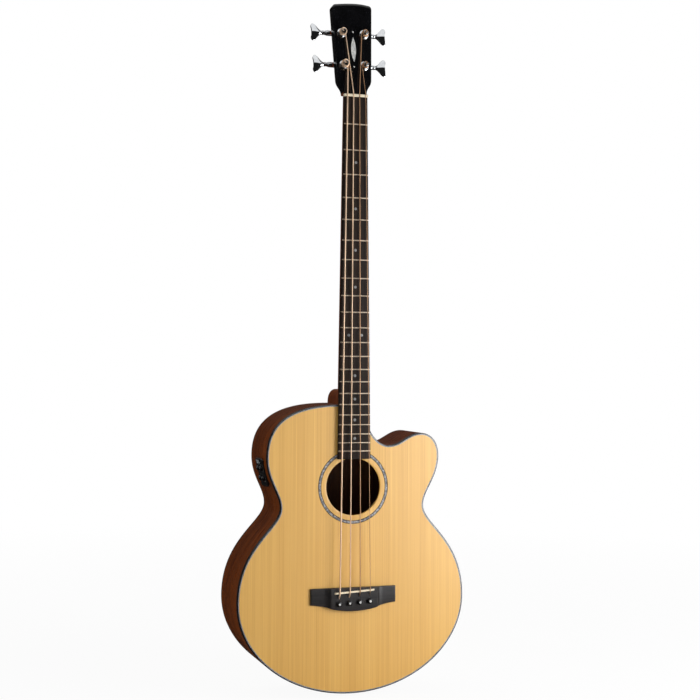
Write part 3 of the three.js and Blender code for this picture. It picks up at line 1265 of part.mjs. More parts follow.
// The lead runs along the bass side, past these shares of the case's height
const LEAD_SHARES = [0.8, 0.5, 0.28];
const leadLine = inset(OUTLINE, LEAD_INSET);
const leadWay = LEAD_SHARES.map((share) => {
  const spot = sidePoint(leadLine, leadStart.z * share);
  return new THREE.Vector3(spot.x, JACK_BACK, spot.y);
});
const leadTurn = new THREE.Vector3(0, JACK_BACK, 2 * JACK_LENGTH);
const lead = new THREE.CatmullRomCurve3([
  leadStart, leadFrom(CASE_DEPTH / 2), ...leadWay, leadTurn, leadEnd,
]);
place('output_lead', wire(lead.getPoints(LEAD_STEPS), LEAD_RADIUS, LEAD_SIDES), BLACK_SATIN);

// The part stands in the frame of its hanger
const root = new THREE.Group();
root.add(guitar);
guitar.position.set(0, -HANGER_BACK, -NUT_Z - HANGER_BEHIND_NUT);
export default root;
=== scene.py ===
import logging
import math
from collections.abc import Sequence
from dataclasses import dataclass, field
from enum import Enum

import bmesh
import bpy
import numpy as np
from mathutils import Matrix
from numpy.typing import NDArray


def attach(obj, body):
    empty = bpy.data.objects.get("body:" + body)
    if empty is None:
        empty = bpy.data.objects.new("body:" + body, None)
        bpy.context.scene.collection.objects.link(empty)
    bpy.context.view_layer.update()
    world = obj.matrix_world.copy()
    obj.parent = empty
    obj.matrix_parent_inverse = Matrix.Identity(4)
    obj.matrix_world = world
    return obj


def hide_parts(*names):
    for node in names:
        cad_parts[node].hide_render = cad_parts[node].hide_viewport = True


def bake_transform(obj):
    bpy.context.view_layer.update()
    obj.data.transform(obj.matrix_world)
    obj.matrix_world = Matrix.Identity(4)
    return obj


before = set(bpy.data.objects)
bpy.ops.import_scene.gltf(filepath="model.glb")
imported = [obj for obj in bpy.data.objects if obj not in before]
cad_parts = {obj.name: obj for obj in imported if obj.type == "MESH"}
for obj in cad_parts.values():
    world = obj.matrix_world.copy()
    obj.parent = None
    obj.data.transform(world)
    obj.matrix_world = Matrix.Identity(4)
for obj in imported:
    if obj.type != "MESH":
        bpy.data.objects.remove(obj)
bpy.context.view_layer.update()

# Acoustic bass guitar with a single cutaway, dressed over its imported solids.
# Shapes are written in millimetres, in the frame of the part that carries them: x across to the
# treble side, y (depth) from the face to the back, z along the neck.

Array = NDArray[np.float64]
Node = bpy.types.Node
Socket = bpy.types.NodeSocket
Piece = bpy.types.Object
LOG = logging.getLogger("bass_guitar")
MM_PER_M = 1000.0


# Places and surfaces


class Axis(Enum):
    """The axis that a turned part is turned about."""

    ACROSS = 0
    DEPTH = 1
    ALONG = 2


@dataclass(frozen=True)
class Place:
    """A frame inside the row frame: its origin in millimetres and its three unit axes."""

    origin: tuple[float, float, float]
    across: tuple[float, float, float] = (1.0, 0.0, 0.0)
    depth: tuple[float, float, float] = (0.0, 1.0, 0.0)
    along: tuple[float, float, float] = (0.0, 0.0, 1.0)

    def row(self, points: Array) -> Array:
        """Turns points into the row frame, in metres.

        Origin plus x times across, y times depth and z times along, over a thousand.

        Args:
            points: Points in this frame, in millimetres, in the last axis.

        Returns:
            The same points in the row frame, in metres.
        """
        axes = np.array([self.across, self.depth, self.along])
        return (np.asarray(self.origin) + np.asarray(points) @ axes) / MM_PER_M

    def local(self, points: Array) -> Array:
        """Points of the row frame, in metres, as millimetres of this frame."""
        axes = np.array([self.across, self.depth, self.along])
        return (points * MM_PER_M - np.asarray(self.origin)) @ axes.T

    def moved(self, x: float, y: float, z: float) -> "Place":
        """The same axes with the origin at a point of this frame."""
        return Place(tuple(self.row(np.array([x, y, z])) * MM_PER_M), self.across, self.depth, self.along)


NUT_Z = 1042.9657
BODY = Place((0.0, -8.0, -1062.9657))
HEAD = Place((0.0, -8.0, -14.7), (1, 0, 0), (0, 0.9925462, -0.1218693), (0, 0.1218693, 0.9925462))
PANEL = Place(
    (-153.94, 30.797, -678.76), (0, 1, 0), (0.9662797, 0, 0.2574954), (-0.2574954, 0, 0.9662797),
)
STRING_NAMES = "eadg"
WIRES = (2.5, 2.0, 1.6, 1.15)  # diameters of the strings, bass to treble
POSTS = ((-19, 53), (-20.9, 111.5), (20.9, 111.5), (19, 53))  # x and z of their posts, in the head's frame
STRING_SHARES = np.arange(4) / 3 - 0.5  # places of the strings in their spread
NUT_SPREAD = 34.0  # between the outer strings at the nut


def bezier(corners: Sequence[tuple[float, float]], steps: int) -> Array:
    """Points of one Bezier curve of any degree, without its last point.

    De Casteljau: each pass blends neighbouring corners by the parameter until one is left.

    Args:
        corners: Control points.
        steps: Number of points, evenly spaced in the parameter.

    Returns:
        Array of shape (steps, 2).
    """
    share = np.linspace(0, 1, steps, endpoint=False)[:, None, None]
    rows = np.broadcast_to(np.array(corners, float), (steps, len(corners), 2))
    while rows.shape[1] > 1:
        rows = rows[:, :-1] * (1 - share) + rows[:, 1:] * share
    return rows[:, 0]


def steady(where: Array, knots: Sequence[float], values: Sequence[float]) -> Array:
    """A smooth curve through knots that never overshoots them.

    Cubic Hermite pieces, whose slope at a knot is the harmonic mean of the two chords beside it,
    or zero where these differ in sign.

    Args:
        where: Places to work out.
        knots: Rising places of the knots.
        values: Values at the knots.

    Returns:
        The curve's values.
    """
    x, y = np.array(knots, float), np.array(values, float)
    chord = np.diff(y) / np.diff(x)
    same = chord[:-1] * chord[1:] > 0
    inner = np.where(same, 2 * chord[:-1] * chord[1:] / np.where(same, chord[:-1] + chord[1:], 1), 0)
    slope = np.concatenate([chord[:1], inner, chord[-1:]])
    spot = np.clip(np.searchsorted(x, where, side="right") - 1, 0, len(x) - 2)
    width = x[spot + 1] - x[spot]
    t = (where - x[spot]) / width
    return (
        y[spot] * (1 + 2 * t) * (1 - t) ** 2 + y[spot + 1] * t**2 * (3 - 2 * t)
        + width * (slope[spot] * t * (1 - t) ** 2 - slope[spot + 1] * t**2 * (1 - t))
    )


def fillet(points: Sequence[tuple[float, float]], radius: float, steps: int = 5,
           closed: bool = True) -> Array:
    """Rounds every corner of an outline by a small quadratic curve.

    Each curve starts and ends at the radius from its corner, or at half the side if that is less.

    Args:
        points: Corners of the outline.
        radius: Distance from a corner at which its curve starts.
        steps: Points on each curve.
        closed: Whether the outline closes on itself; an open one keeps its two ends.

    Returns:
        The rounded outline.
    """
    corner = np.array(points, float)
    before, after = np.roll(corner, 1, 0) - corner, np.roll(corner, -1, 0) - corner
    reach_before = np.linalg.norm(before, axis=1, keepdims=True)
    reach_after = np.linalg.norm(after, axis=1, keepdims=True)
    start = corner + before / reach_before * np.minimum(radius, reach_before / 2.01)
    end = corner + after / reach_after * np.minimum(radius, reach_after / 2.01)
    t = np.linspace(0, 1, steps)[None, :, None]
    curve = start[:, None] * (1 - t) ** 2 + 2 * corner[:, None] * t * (1 - t) + end[:, None] * t**2
    if closed:
        return curve.reshape(-1, 2)
    return np.concatenate([corner[:1], curve[1:-1].reshape(-1, 2), corner[-1:]])


def outward(outline: Array) -> Array:
    """Outward mitre at each point of a closed outline that runs counter-clockwise.

    The two sides' outward normals a and b give (a + b) / (1 + a.b), so that a point moved by a
    distance along it lies that far from both sides.

    Args:
        outline: Points of shape (n, 2).

    Returns:
        Mitres of shape (n, 2).
    """
    side = np.roll(outline, -1, 0) - outline
    side /= np.linalg.norm(side, axis=1, keepdims=True)
    after = np.stack([side[:, 1], -side[:, 0]], 1)
    before = np.roll(after, 1, 0)
    return (before + after) / np.maximum(1 + (before * after).sum(1, keepdims=True), 0.35)


def turned(profile: Array, axis: Axis = Axis.DEPTH, steps: int = 48,
           centre: tuple[float, float, float] = (0, 0, 0)) -> Array:
    """A turned surface: each profile point runs round the axis.

    Radius times the cosine and sine of the angle, with the height along the axis.

    Args:
        profile: Rows of radius and height.
        axis: Axis of the turning.
        steps: Points round the axis.
        centre: Point of the axis where the height is zero.

    Returns:
        Grid of shape (profile rows, steps, 3).
    """
    angle = np.linspace(0, 2 * math.pi, steps, endpoint=False)
    profile = np.asarray(profile, float)
    first = profile[:, :1] * np.cos(angle)
    second = profile[:, :1] * np.sin(angle)
    height = np.broadcast_to(profile[:, 1:2], first.shape)
    columns = {
        Axis.ACROSS: (height, first, second),
        Axis.DEPTH: (first, height, second),
        Axis.ALONG: (first, second, height),
    }[axis]
    return np.stack(columns, -1) + np.array(centre, float)


def slab(outline: Array, levels: Sequence[tuple[float, float]]) -> Array:
    """Rings of a plate whose edge is shaped: each level has a depth and a distance inward.

    Args:
        outline: Counter-clockwise outline of shape (n, 2) in x and z.
        levels: Rows of depth and inset.

    Returns:
        Grid of shape (levels, n, 3).
    """
    level = np.array(levels, float)
    flat = outline[None] - level[:, 1, None, None] * outward(outline)[None]
    depth = np.broadcast_to(level[:, 0, None], flat.shape[:2])
    return np.stack([flat[..., 0], depth, flat[..., 1]], -1)


def eased(front: float, back: float, radius: float, steps: int = 5) -> list[tuple[float, float]]:
    """Levels of a plate from its back to its front, with both edges rounded by a quarter circle."""
    angle = np.linspace(0, math.pi / 2, steps)
    inset = radius * (1 - np.cos(angle))
    drop = radius * (1 - np.sin(angle))
    low = [(back - d, i) for d, i in zip(drop[::-1], inset[::-1])]
    high = [(front + d, i) for d, i in zip(drop, inset)]
    return low + high


class Surface:
    """Grids and fans of one piece, gathered before they become its mesh."""

    def __init__(self) -> None:
        """Starts with nothing."""
        self.points: list[Array] = []
        self.faces: list[NDArray[np.int64]] = []
        self.flat: list[Array] = []
        self.slots: list[NDArray[np.int64]] = []
        self.count = 0

    def grid(self, points: Array, wrap_rows: bool = False, wrap_columns: bool = True,
             slot: int = 0) -> "Surface":
        """Adds the quads of a grid, with a UV map that counts millimetres.

        Args:
            points: Grid of shape (rows, columns, 3).
            wrap_rows: Whether the last row joins the first.
            wrap_columns: Whether the last column joins the first.
            slot: Material slot of the quads.

        Returns:
            The surface itself.
        """
        rows, columns = points.shape[:2]
        i, j = np.meshgrid(
            np.arange(rows if wrap_rows else rows - 1),
            np.arange(columns if wrap_columns else columns - 1), indexing="ij",
        )
        row = np.stack([i, i, i + 1, i + 1], -1).reshape(-1, 4)
        column = np.stack([j, j + 1, j + 1, j], -1).reshape(-1, 4)
        down = np.linalg.norm(np.roll(points, -1, 0) - points, axis=-1).mean(1)
        over = np.linalg.norm(np.roll(points, -1, 1) - points, axis=-1).mean(0)
        v = np.concatenate([[0], np.cumsum(down)])
        u = np.concatenate([[0], np.cumsum(over)])
        self._keep(points.reshape(-1, 3), (row % rows) * columns + column % columns,
                   np.stack([u[column], v[row]], -1), slot)
        return self

    def fan(self, ring: Array, slot: int = 0) -> "Surface":
        """Closes a ring by a narrow band and triangles to its middle.

        The band runs a twentieth of the way to the middle and keeps the shading of the flat face
        out of the edge's.

        Args:
            ring: Points of shape (n, 3).
            slot: Material slot of the triangles.

        Returns:
            The surface itself.
        """
        count = len(ring)
        index = np.arange(count)
        middle = ring.mean(0, keepdims=True)
        inner = ring + (middle - ring) / 20
        faces = np.stack([index, (index + 1) % count, np.full(count, count)], 1)
        self._keep(np.concatenate([inner, middle]), faces, np.zeros((count, 3, 2)), slot)
        return self.grid(np.stack([ring, inner]), slot=slot)

    def loft(self, rings: Array, slot: int = 0) -> "Surface":
        """Adds rings joined in a row and closed at both ends."""
        return self.grid(rings, slot=slot).fan(rings[0], slot).fan(rings[-1], slot)

    def _keep(self, points: Array, faces: NDArray[np.int64], flat: Array, slot: int) -> None:
        """Stores one block of points with its faces, UV places and slot."""
        self.points.append(points)
        self.faces.append(faces + self.count)
        self.flat.append(flat)
        self.slots.append(np.full(len(faces), slot))
        self.count += len(points)

    def build(self, name: str, place: Place = BODY, sharp: float = 32.0) -> Piece:
        """Makes the object: its place is in its mesh, its doubles merged and its faces outward.

        Args:
            name: Name of the piece.
            place: Frame that the points are written in.
            sharp: Angle in degrees above which an edge stays sharp.

        Returns:
            The new object.
        """
        mesh = bpy.data.meshes.new(name)
        where = place.row(np.concatenate(self.points))
        mesh.from_pydata(where.tolist(), [], [face for block in self.faces for face in block.tolist()])
        layer = mesh.uv_layers.new(name="UVMap")
        flat = np.concatenate([block.reshape(-1, 2) for block in self.flat])
        layer.data.foreach_set("uv", flat.astype(np.float32).ravel())
        mesh.polygons.foreach_set("material_index", np.concatenate(self.slots).astype(np.int32))
        work = bmesh.new()
        work.from_mesh(mesh)
        bmesh.ops.remove_doubles(work, verts=work.verts, dist=1e-6)
        bmesh.ops.recalc_face_normals(work, faces=work.faces)
        work.to_mesh(mesh)
        work.free()
        shade(mesh, sharp)
        piece = bpy.data.objects.new(name, mesh)
        bpy.context.scene.collection.objects.link(piece)
        return piece


def shade(mesh: bpy.types.Mesh, sharp: float) -> None:
    """Shades a mesh smooth, except over edges above the sharp angle in degrees."""
    mesh.shade_smooth()
    mesh.set_sharp_from_angle(angle=math.radians(sharp))


class Cut(Enum):
    """What a Boolean does with its second piece."""

    AWAY = "DIFFERENCE"
    JOIN = "UNION"


def carve(piece: Piece, tools: Sequence[Piece], how: Cut = Cut.AWAY, sharp: float = 32.0) -> Piece:
    """Cuts or joins pieces and applies the result to the first one's mesh.

    Args:
        piece: The piece that is changed.
        tools: Closed pieces that cut it or join it; they are removed.
        how: Whether the tools are cut away or joined.
        sharp: Angle in degrees above which an edge stays sharp.

    Returns:
        The changed piece.
    """
    for tool in tools:
        change = piece.modifiers.new("cut", "BOOLEAN")
        change.operation = how.value
        change.solver = "EXACT"
        change.object = tool
    bpy.context.view_layer.update()
    seen = piece.evaluated_get(bpy.context.evaluated_depsgraph_get())
    mesh = bpy.data.meshes.new_from_object(seen)
    piece.modifiers.clear()
    piece.data = mesh
    shade(mesh, sharp)
    for tool in tools:
        bpy.data.objects.remove(tool)
    return piece


def drill(name: str, radius: float, ends: tuple[float, float], place: Place = BODY,
          centre: tuple[float, float, float] = (0, 0, 0), axis: Axis = Axis.DEPTH, steps: int = 40) -> Piece:
    """A closed cylinder that cuts a bore.

    Args:
        name: Name of the piece.
        radius: Radius of the bore.
        ends: Heights of its two ends along the axis.
        place: Frame that it is written in.
        centre: Point of the axis where the height is zero.
        axis: Direction of the bore.
        steps: Points round it.

    Returns:
        The new object.
    """
    profile = np.array([(radius, end) for end in ends])
    return Surface().loft(turned(profile, axis, steps, centre)).build(name, place)


# Finishes


def linear(code: str) -> tuple[float, float, float, float]:
    """Turns an sRGB hex code into linear colour.

    Values up to 0.04045 are divided by 12.92; others are ((value + 0.055) / 1.055) to the 2.4.

    Args:
        code: Colour such as "#A1B2C3".

    Returns:
        Linear red, green, blue and an alpha of one.
    """
    value = np.array([int(code[i : i + 2], 16) for i in (1, 3, 5)]) / 255
    out = np.where(value <= 0.04045, value / 12.92, ((value + 0.055) / 1.055) ** 2.4)
    return (*map(float, out), 1.0)


def add_node(tree: bpy.types.NodeTree, kind: str, settings: dict | None = None,
             links: dict | None = None) -> Node:
    """Adds one node.

    Args:
        tree: Node tree to add it to.
        kind: Its type, such as "ShaderNodeMath".
        settings: Attribute names, or input names or numbers, with their values.
        links: Input names or numbers with the sockets that feed them.

    Returns:
        The new node.
    """
    node = tree.nodes.new(kind)
    for key, value in (settings or {}).items():
        if isinstance(key, str) and hasattr(node, key):
            setattr(node, key, value)
        else:
            node.inputs[key].default_value = value
    for key, socket in (links or {}).items():
        tree.links.new(socket, node.inputs[key])
    return node


@dataclass(frozen=True)
class Finish:
    """A surface with a figure that runs between two colours.

    The broad figure is noise over position divided by the cell; the fine one is noise over a
    quarter of it. They add up, steepened by the contrast, to the mix of the dark and light colour.
    """

    name: str
    light: str
    dark: str
    roughness: float
    cell: tuple[float, float, float]  # size of the broad figure in millimetres
    fine: float = 0.25  # size of the fine figure, of the broad one
    fine_share: float = 0.4
    contrast: float = 1.6
    metallic: float = 0.0
    ior: float = 1.5
    coat: float = 0.0
    coat_roughness: float = 0.06
    bump: float = 0.0  # height of the grain in millimetres
    swing: float = 0.05  # change of the roughness over the figure
    drift: float = 0.0  # share of a slow change of tone, nine cells wide

    def material(self) -> bpy.types.Material:
        """The finish's material, made once."""
        made = bpy.data.materials.get(self.name)
        if made is None:
            made = bpy.data.materials.new(self.name)
            made.use_nodes = True
            made.node_tree.nodes.clear()
            self.draw(made.node_tree)
        return made

    def position(self, tree: bpy.types.NodeTree) -> Socket:
        """Object coordinates."""
        return add_node(tree, "ShaderNodeTexCoord").outputs["Object"]

    def figure(self, tree: bpy.types.NodeTree, scale: float = 1.0, detail: float = 3.0) -> Socket:
        """Noise stretched to the cell times a scale."""
        stretch = add_node(
            tree, "ShaderNodeVectorMath",
            {"operation": "MULTIPLY", 1: tuple(MM_PER_M / (side * scale) for side in self.cell)},
            {0: self.position(tree)},
        )
        noise = add_node(
            tree, "ShaderNodeTexNoise", {"Scale": 1.0, "Detail": detail, "Roughness": 0.55},
            {"Vector": stretch.outputs[0]},
        )
        return noise.outputs["Fac"]

    def blend(self, tree: bpy.types.NodeTree, broad: Socket, fine: Socket) -> Socket:
        """Broad and fine figure added by share and steepened about their middle."""
        low = add_node(tree, "ShaderNodeMath", {"operation": "MULTIPLY", 1: self.fine_share}, {0: fine})
        both = add_node(
            tree, "ShaderNodeMath", {"operation": "MULTIPLY_ADD", 1: 1 - self.fine_share},
            {0: broad, 2: low.outputs[0]},
        )
        if self.drift:
            slow = add_node(
                tree, "ShaderNodeMath", {"operation": "MULTIPLY_ADD", 1: self.drift, 2: -self.drift / 2},
                {0: self.figure(tree, 9.0, 1.0)},
            )
            both = add_node(
                tree, "ShaderNodeMath", {"operation": "ADD"}, {0: both.outputs[0], 1: slow.outputs[0]},
            )
        half = 0.25 / self.contrast
        return add_node(
            tree, "ShaderNodeMapRange", {"From Min": 0.5 - half, "From Max": 0.5 + half},
            {"Value": both.outputs[0]},
        ).outputs[0]

    def colour(self, tree: bpy.types.NodeTree, mix: Socket) -> Socket:
        """The mix between the dark and the light colour."""
        return add_node(
            tree, "ShaderNodeMix", {"data_type": "RGBA", 6: linear(self.dark), 7: linear(self.light)},
            {0: mix},
        ).outputs[2]

    def draw(self, tree: bpy.types.NodeTree) -> None:
        """Puts the nodes of the finish into its tree."""
        broad, fine = self.figure(tree), self.figure(tree, self.fine)
        mix = self.blend(tree, broad, fine)
        self.shader(tree, self.colour(tree, mix), fine, fine)

    def shader(self, tree: bpy.types.NodeTree, colour: Socket, rough: Socket, height: Socket) -> Node:
        """Adds the shader with its constants on its own sockets.

        Args:
            tree: Node tree of the material.
            colour: Socket of the base colour.
            rough: Socket that moves the roughness up and down.
            height: Socket of the relief.

        Returns:
            The shader node.
        """
        links = {"Base Color": colour}
        links["Roughness"] = add_node(
            tree, "ShaderNodeMapRange",
            {"From Min": 0.3, "From Max": 0.7, "To Min": max(self.roughness - self.swing, 0.01),
             "To Max": self.roughness + self.swing},
            {"Value": rough},
        ).outputs[0]
        if self.bump:
            links["Normal"] = add_node(
                tree, "ShaderNodeBump", {"Distance": self.bump / MM_PER_M, "Strength": 1.0},
                {"Height": height},
            ).outputs[0]
        shader = add_node(
            tree, "ShaderNodeBsdfPrincipled",
            {"Metallic": self.metallic, "IOR": self.ior, "Coat Weight": self.coat,
             "Coat Roughness": self.coat_roughness},
            links,
        )
        add_node(tree, "ShaderNodeOutputMaterial", links={"Surface": shader.outputs[0]})
        return shader


@dataclass(frozen=True)
class BookMatched(Finish):
    """A board sawn open and glued as a mirror image: the figure reads the distance from x = 0."""

    def position(self, tree: bpy.types.NodeTree) -> Socket:
        """Object coordinates with x made positive."""
        plain = add_node(tree, "ShaderNodeTexCoord").outputs["Object"]
        return add_node(tree, "ShaderNodeVectorMath", {"operation": "ABSOLUTE"}, {0: plain}).outputs[0]


@dataclass(frozen=True)
class WoundWire(Finish):
    """Wire wound round a core: ridges across the length, read from the UV map in millimetres.

    Height is the absolute sine of pi times the length over the pitch.
    """

    pitch: float = 1.1  # coarser than the real 0.5, so that it shows

    def draw(self, tree: bpy.types.NodeTree) -> None:
        """Puts the nodes of the winding into its tree."""
        flat = add_node(tree, "ShaderNodeTexCoord").outputs["UV"]
        length = add_node(tree, "ShaderNodeSeparateXYZ", links={0: flat}).outputs[1]
        turn = add_node(
            tree, "ShaderNodeMath", {"operation": "MULTIPLY", 1: math.pi / self.pitch}, {0: length},
        )
        wave = add_node(tree, "ShaderNodeMath", {"operation": "SINE"}, {0: turn.outputs[0]})
        ridge = add_node(tree, "ShaderNodeMath", {"operation": "ABSOLUTE"}, {0: wave.outputs[0]}).outputs[0]
        # The colour runs from the dark one in the grooves to the light one on the crests: painted shade between
        # the turns and painted highlight on them.
        painted_crest_light = add_node(tree, "ShaderNodeMapRange", {"From Min": 0.1, "From Max": 0.75}, {"Value": ridge})
        self.shader(tree, self.colour(tree, painted_crest_light.outputs[0]), self.figure(tree), ridge)


@dataclass(frozen=True)
class ShellInlay(Finish):
    """Nacre in chips: cells whose grey, green and rose wander, with thin dark glue lines."""

    third: str = "#B9A9A6"
    glue: str = "#4A4B49"

    def draw(self, tree: bpy.types.NodeTree) -> None:
        """Puts the nodes of the inlay into its tree."""
        self.shader(tree, self.nacre(tree), self.figure(tree), self.figure(tree, self.fine))

    def nacre(self, tree: bpy.types.NodeTree) -> Socket:
        """Colour of the chips: two mixes by noise inside a cell, then the line at its border."""
        stretch = add_node(
            tree, "ShaderNodeVectorMath",
            {"operation": "MULTIPLY", 1: tuple(MM_PER_M / side for side in self.cell)},
            {0: self.position(tree)},
        ).outputs[0]
        chip = add_node(tree, "ShaderNodeTexVoronoi", {"Scale": 1.0}, {"Vector": stretch})
        tone = add_node(tree, "ShaderNodeSeparateXYZ", links={0: chip.outputs["Color"]})
        base = self.colour(tree, self.blend(tree, tone.outputs[0], self.figure(tree, self.fine)))
        wander = add_node(tree, "ShaderNodeMapRange", {"From Min": 0.45, "From Max": 0.75, "To Max": 0.75},
                          {"Value": self.figure(tree, 0.6)})
        rose = add_node(
            tree, "ShaderNodeMix", {"data_type": "RGBA", 7: linear(self.third)},
            {0: wander.outputs[0], 6: base},
        ).outputs[2]
        border = add_node(
            tree, "ShaderNodeTexVoronoi", {"feature": "DISTANCE_TO_EDGE", "Scale": 1.0}, {"Vector": stretch},
        ).outputs["Distance"]
        line = add_node(
            tree, "ShaderNodeMapRange", {"From Min": 0.015, "From Max": 0.06, "To Min": 0.65, "To Max": 0.0},
            {"Value": border},
        )
        return add_node(
            tree, "ShaderNodeMix", {"data_type": "RGBA", 7: linear(self.glue)},
            {0: line.outputs[0], 6: rose},
        ).outputs[2]


@dataclass(frozen=True)
class RingInlay(ShellInlay):
    """The soundhole's ring: nacre between two dark lines, told apart by the radius."""

    centre: tuple[float, float] = (0.0, -703.9657)  # x and z in the row frame, in millimetres
    middle: float = 61.8
    half: float = 1.95  # half width of the nacre between the lines

    def nacre(self, tree: bpy.types.NodeTree) -> Socket:
        """Nacre where the radius lies within the half width of the middle, else dark wood."""
        inner = ShellInlay.nacre(self, tree)
        flat = add_node(
            tree, "ShaderNodeVectorMath", {"operation": "MULTIPLY", 1: (MM_PER_M, 0.0, MM_PER_M)},
            {0: self.position(tree)},
        )
        arm = add_node(
            tree, "ShaderNodeVectorMath",
            {"operation": "SUBTRACT", 1: (self.centre[0], 0.0, self.centre[1])}, {0: flat.outputs[0]},
        )
        radius = add_node(tree, "ShaderNodeVectorMath", {"operation": "LENGTH"}, {0: arm.outputs[0]})
        away = add_node(tree, "ShaderNodeMath", {"operation": "SUBTRACT", 1: self.middle},
                        {0: radius.outputs["Value"]})
        far = add_node(tree, "ShaderNodeMath", {"operation": "ABSOLUTE"}, {0: away.outputs[0]})
        line = add_node(
            tree, "ShaderNodeMapRange", {"From Min": self.half - 0.1, "From Max": self.half + 0.1},
            {"Value": far.outputs[0]},
        )
        return add_node(
            tree, "ShaderNodeMix", {"data_type": "RGBA", 7: linear("#2A211B")},
            {0: line.outputs[0], 6: inner},
        ).outputs[2]


# Spruce top, quarter-sawn and lacquered satin: close straight lines and a soft wide sheen.
SPRUCE = BookMatched("spruce_top", "#F2C365", "#CF9438", 0.42, (2.2, 24.0, 600.0), fine=0.45,
                     fine_share=0.5, contrast=0.85, coat=1.0, coat_roughness=0.4, bump=0.012, drift=0.25)
# Unvarnished spruce of the braces and of the top's inside: pale and dry.
BRACE_SPRUCE = Finish("raw_spruce", "#E6CB96", "#CBA668", 0.62, (4.0, 4.0, 260.0), contrast=1.2, bump=0.03)
# Maple and basswood blocks and linings, sawn.
PALE_WOOD = Finish("raw_maple", "#D9BE8D", "#BD9B65", 0.6, (5.0, 5.0, 160.0), contrast=1.2, bump=0.03)
# Mahogany of the sides, bent: the grain runs round the rim, under gloss lacquer.
SIDE_MAHOGANY = Finish("bent_mahogany", "#964A12", "#4C1D06", 0.3, (120.0, 6.0, 120.0), fine=0.3,
                       contrast=1.15, ior=1.3, coat=0.06, coat_roughness=0.1, bump=0.01, drift=0.35)
# Mahogany back, two matched boards under gloss lacquer.
BACK_MAHOGANY = BookMatched("mahogany_back", "#8C4A1D", "#52260D", 0.34, (7.0, 60.0, 380.0), fine=0.3,
                            contrast=1.2, coat=0.45, coat_roughness=0.12, bump=0.01, drift=0.4)
# Inside of the back and sides: the same wood, sanded and dry, darkened as painted shade of the body's hollow.
SHADED_RAW_MAHOGANY = Finish("raw_mahogany_painted_shade", "#6E4527", "#4C2C18", 0.65, (8.0, 8.0, 300.0), contrast=1.3, bump=0.03)
# Mahogany neck, lacquered satin.
NECK_MAHOGANY = Finish("satin_mahogany", "#A04C10", "#5A2708", 0.36, (7.0, 7.0, 340.0), fine=0.3,
                       contrast=1.2, ior=1.3, coat=0.04, coat_roughness=0.1, bump=0.01, drift=0.3)
# Rosewood fretboard, oiled: dark open pores along the neck.
ROSEWOOD = Finish("oiled_rosewood", "#32251D", "#140E0B", 0.5, (3.2, 3.2, 110.0), fine=0.3, contrast=1.5,
                  ior=1.25, bump=0.03, drift=0.3)
# Ebonised bridge, oiled: nearly black, with grain along its length.
BRIDGE_WOOD = Finish("ebonised_wood", "#2F2B2B", "#151314", 0.42, (90.0, 3.0, 3.0), contrast=1.5, bump=0.04)
# Black celluloid binding, scraped and polished.
BINDING = Finish("celluloid_binding", "#202226", "#15161A", 0.3, (30.0, 30.0, 30.0), coat=0.8,
                 coat_roughness=0.16)
# Pale grey-blue lines inside the black binding, which read as one grey-blue line from afar: a painted highlight,
# standing for the gloss that light draws along the binding's rounded edge.
PAINTED_HIGHLIGHT = Finish("painted_binding_highlight", "#C3CAD4", "#AAB2BE", 0.4, (20.0, 20.0, 20.0))
# Black lacquered veneer of the head: deep gloss.
HEAD_GLOSS = Finish("black_lacquer", "#0E0E11", "#08080A", 0.1, (60.0, 60.0, 60.0), coat=1.0,
                    coat_roughness=0.03, swing=0.02)
# ABS panel, moulded with a fine spark grain.
PANEL_PLASTIC = Finish("moulded_abs", "#1E1F21", "#151617", 0.48, (1.6, 1.6, 1.6), contrast=1.5, bump=0.03)
# Polished ABS of knobs, button and pins.
BLACK_PLASTIC = Finish("polished_abs", "#141416", "#0C0C0D", 0.24, (8.0, 8.0, 8.0), bump=0.0)
# Small display behind clear acrylic.
DISPLAY = Finish("acrylic_window", "#C4C9CA", "#A9AFB1", 0.12, (14.0, 14.0, 14.0), coat=1.0,
                 coat_roughness=0.03)
# White print on the panel and the knobs' pointers.
PRINT = Finish("white_print", "#D9DAD8", "#C4C5C3", 0.5, (2.0, 2.0, 2.0))
# Bone nut and saddle, polished: cream with faint pores.
BONE = Finish("polished_bone", "#FFF4DE", "#F2E0BC", 0.32, (2.4, 2.4, 9.0), contrast=1.3, bump=0.01)
# Grey pearl of the fretboard's dots.
DOT = Finish("grey_pearl", "#93928F", "#7F8083", 0.2, (4.0, 4.0, 4.0), coat=0.5)
# Pearl of the head's inlay.
PEARL = ShellInlay("pearl", "#ECECE8", "#C6C9C8", 0.18, (3.4, 8.0, 6.0), contrast=1.2, third="#CFC9C9",
                   glue="#A5A8A6", coat=0.5)
# Ring of shell round the soundhole.
RING = RingInlay("abalone_ring", "#B2B3B8", "#6C6A6B", 0.2, (3.0, 6.0, 3.0), contrast=1.4, coat=0.5,
                 third="#A39E96")
# Phosphor bronze winding of all four strings: the two thick ones painted paler, a painted highlight, and the two
# thin ones in the browner bronze.
HIGHLIT_BRONZE = WoundWire("bronze_painted_highlight", "#FFDFC0", "#DDB48C", 0.46, (5.0, 5.0, 5.0), metallic=0.6, bump=0.05)
THIN_BRONZE = WoundWire("thin_bronze", "#DDB08A", "#A87F5E", 0.46, (5.0, 5.0, 5.0), metallic=1.0, bump=0.05)
# Nickel silver frets, crowned and polished.
NICKEL = Finish("nickel_silver", "#E4D2BE", "#BFAB93", 0.38, (3.0, 3.0, 3.0), metallic=1.0, swing=0.08)
# Chrome plate of the tuning machines: nearly a mirror, with faint polishing marks.
CHROME = Finish("chrome_plate", "#E6E8EA", "#CBCED1", 0.09, (5.0, 5.0, 5.0), metallic=1.0, swing=0.04)
# Steel of the rod and its nut, turned.
STEEL = Finish("turned_steel", "#9C9EA0", "#77797B", 0.34, (6.0, 6.0, 1.2), metallic=1.0, swing=0.08,
               bump=0.01)
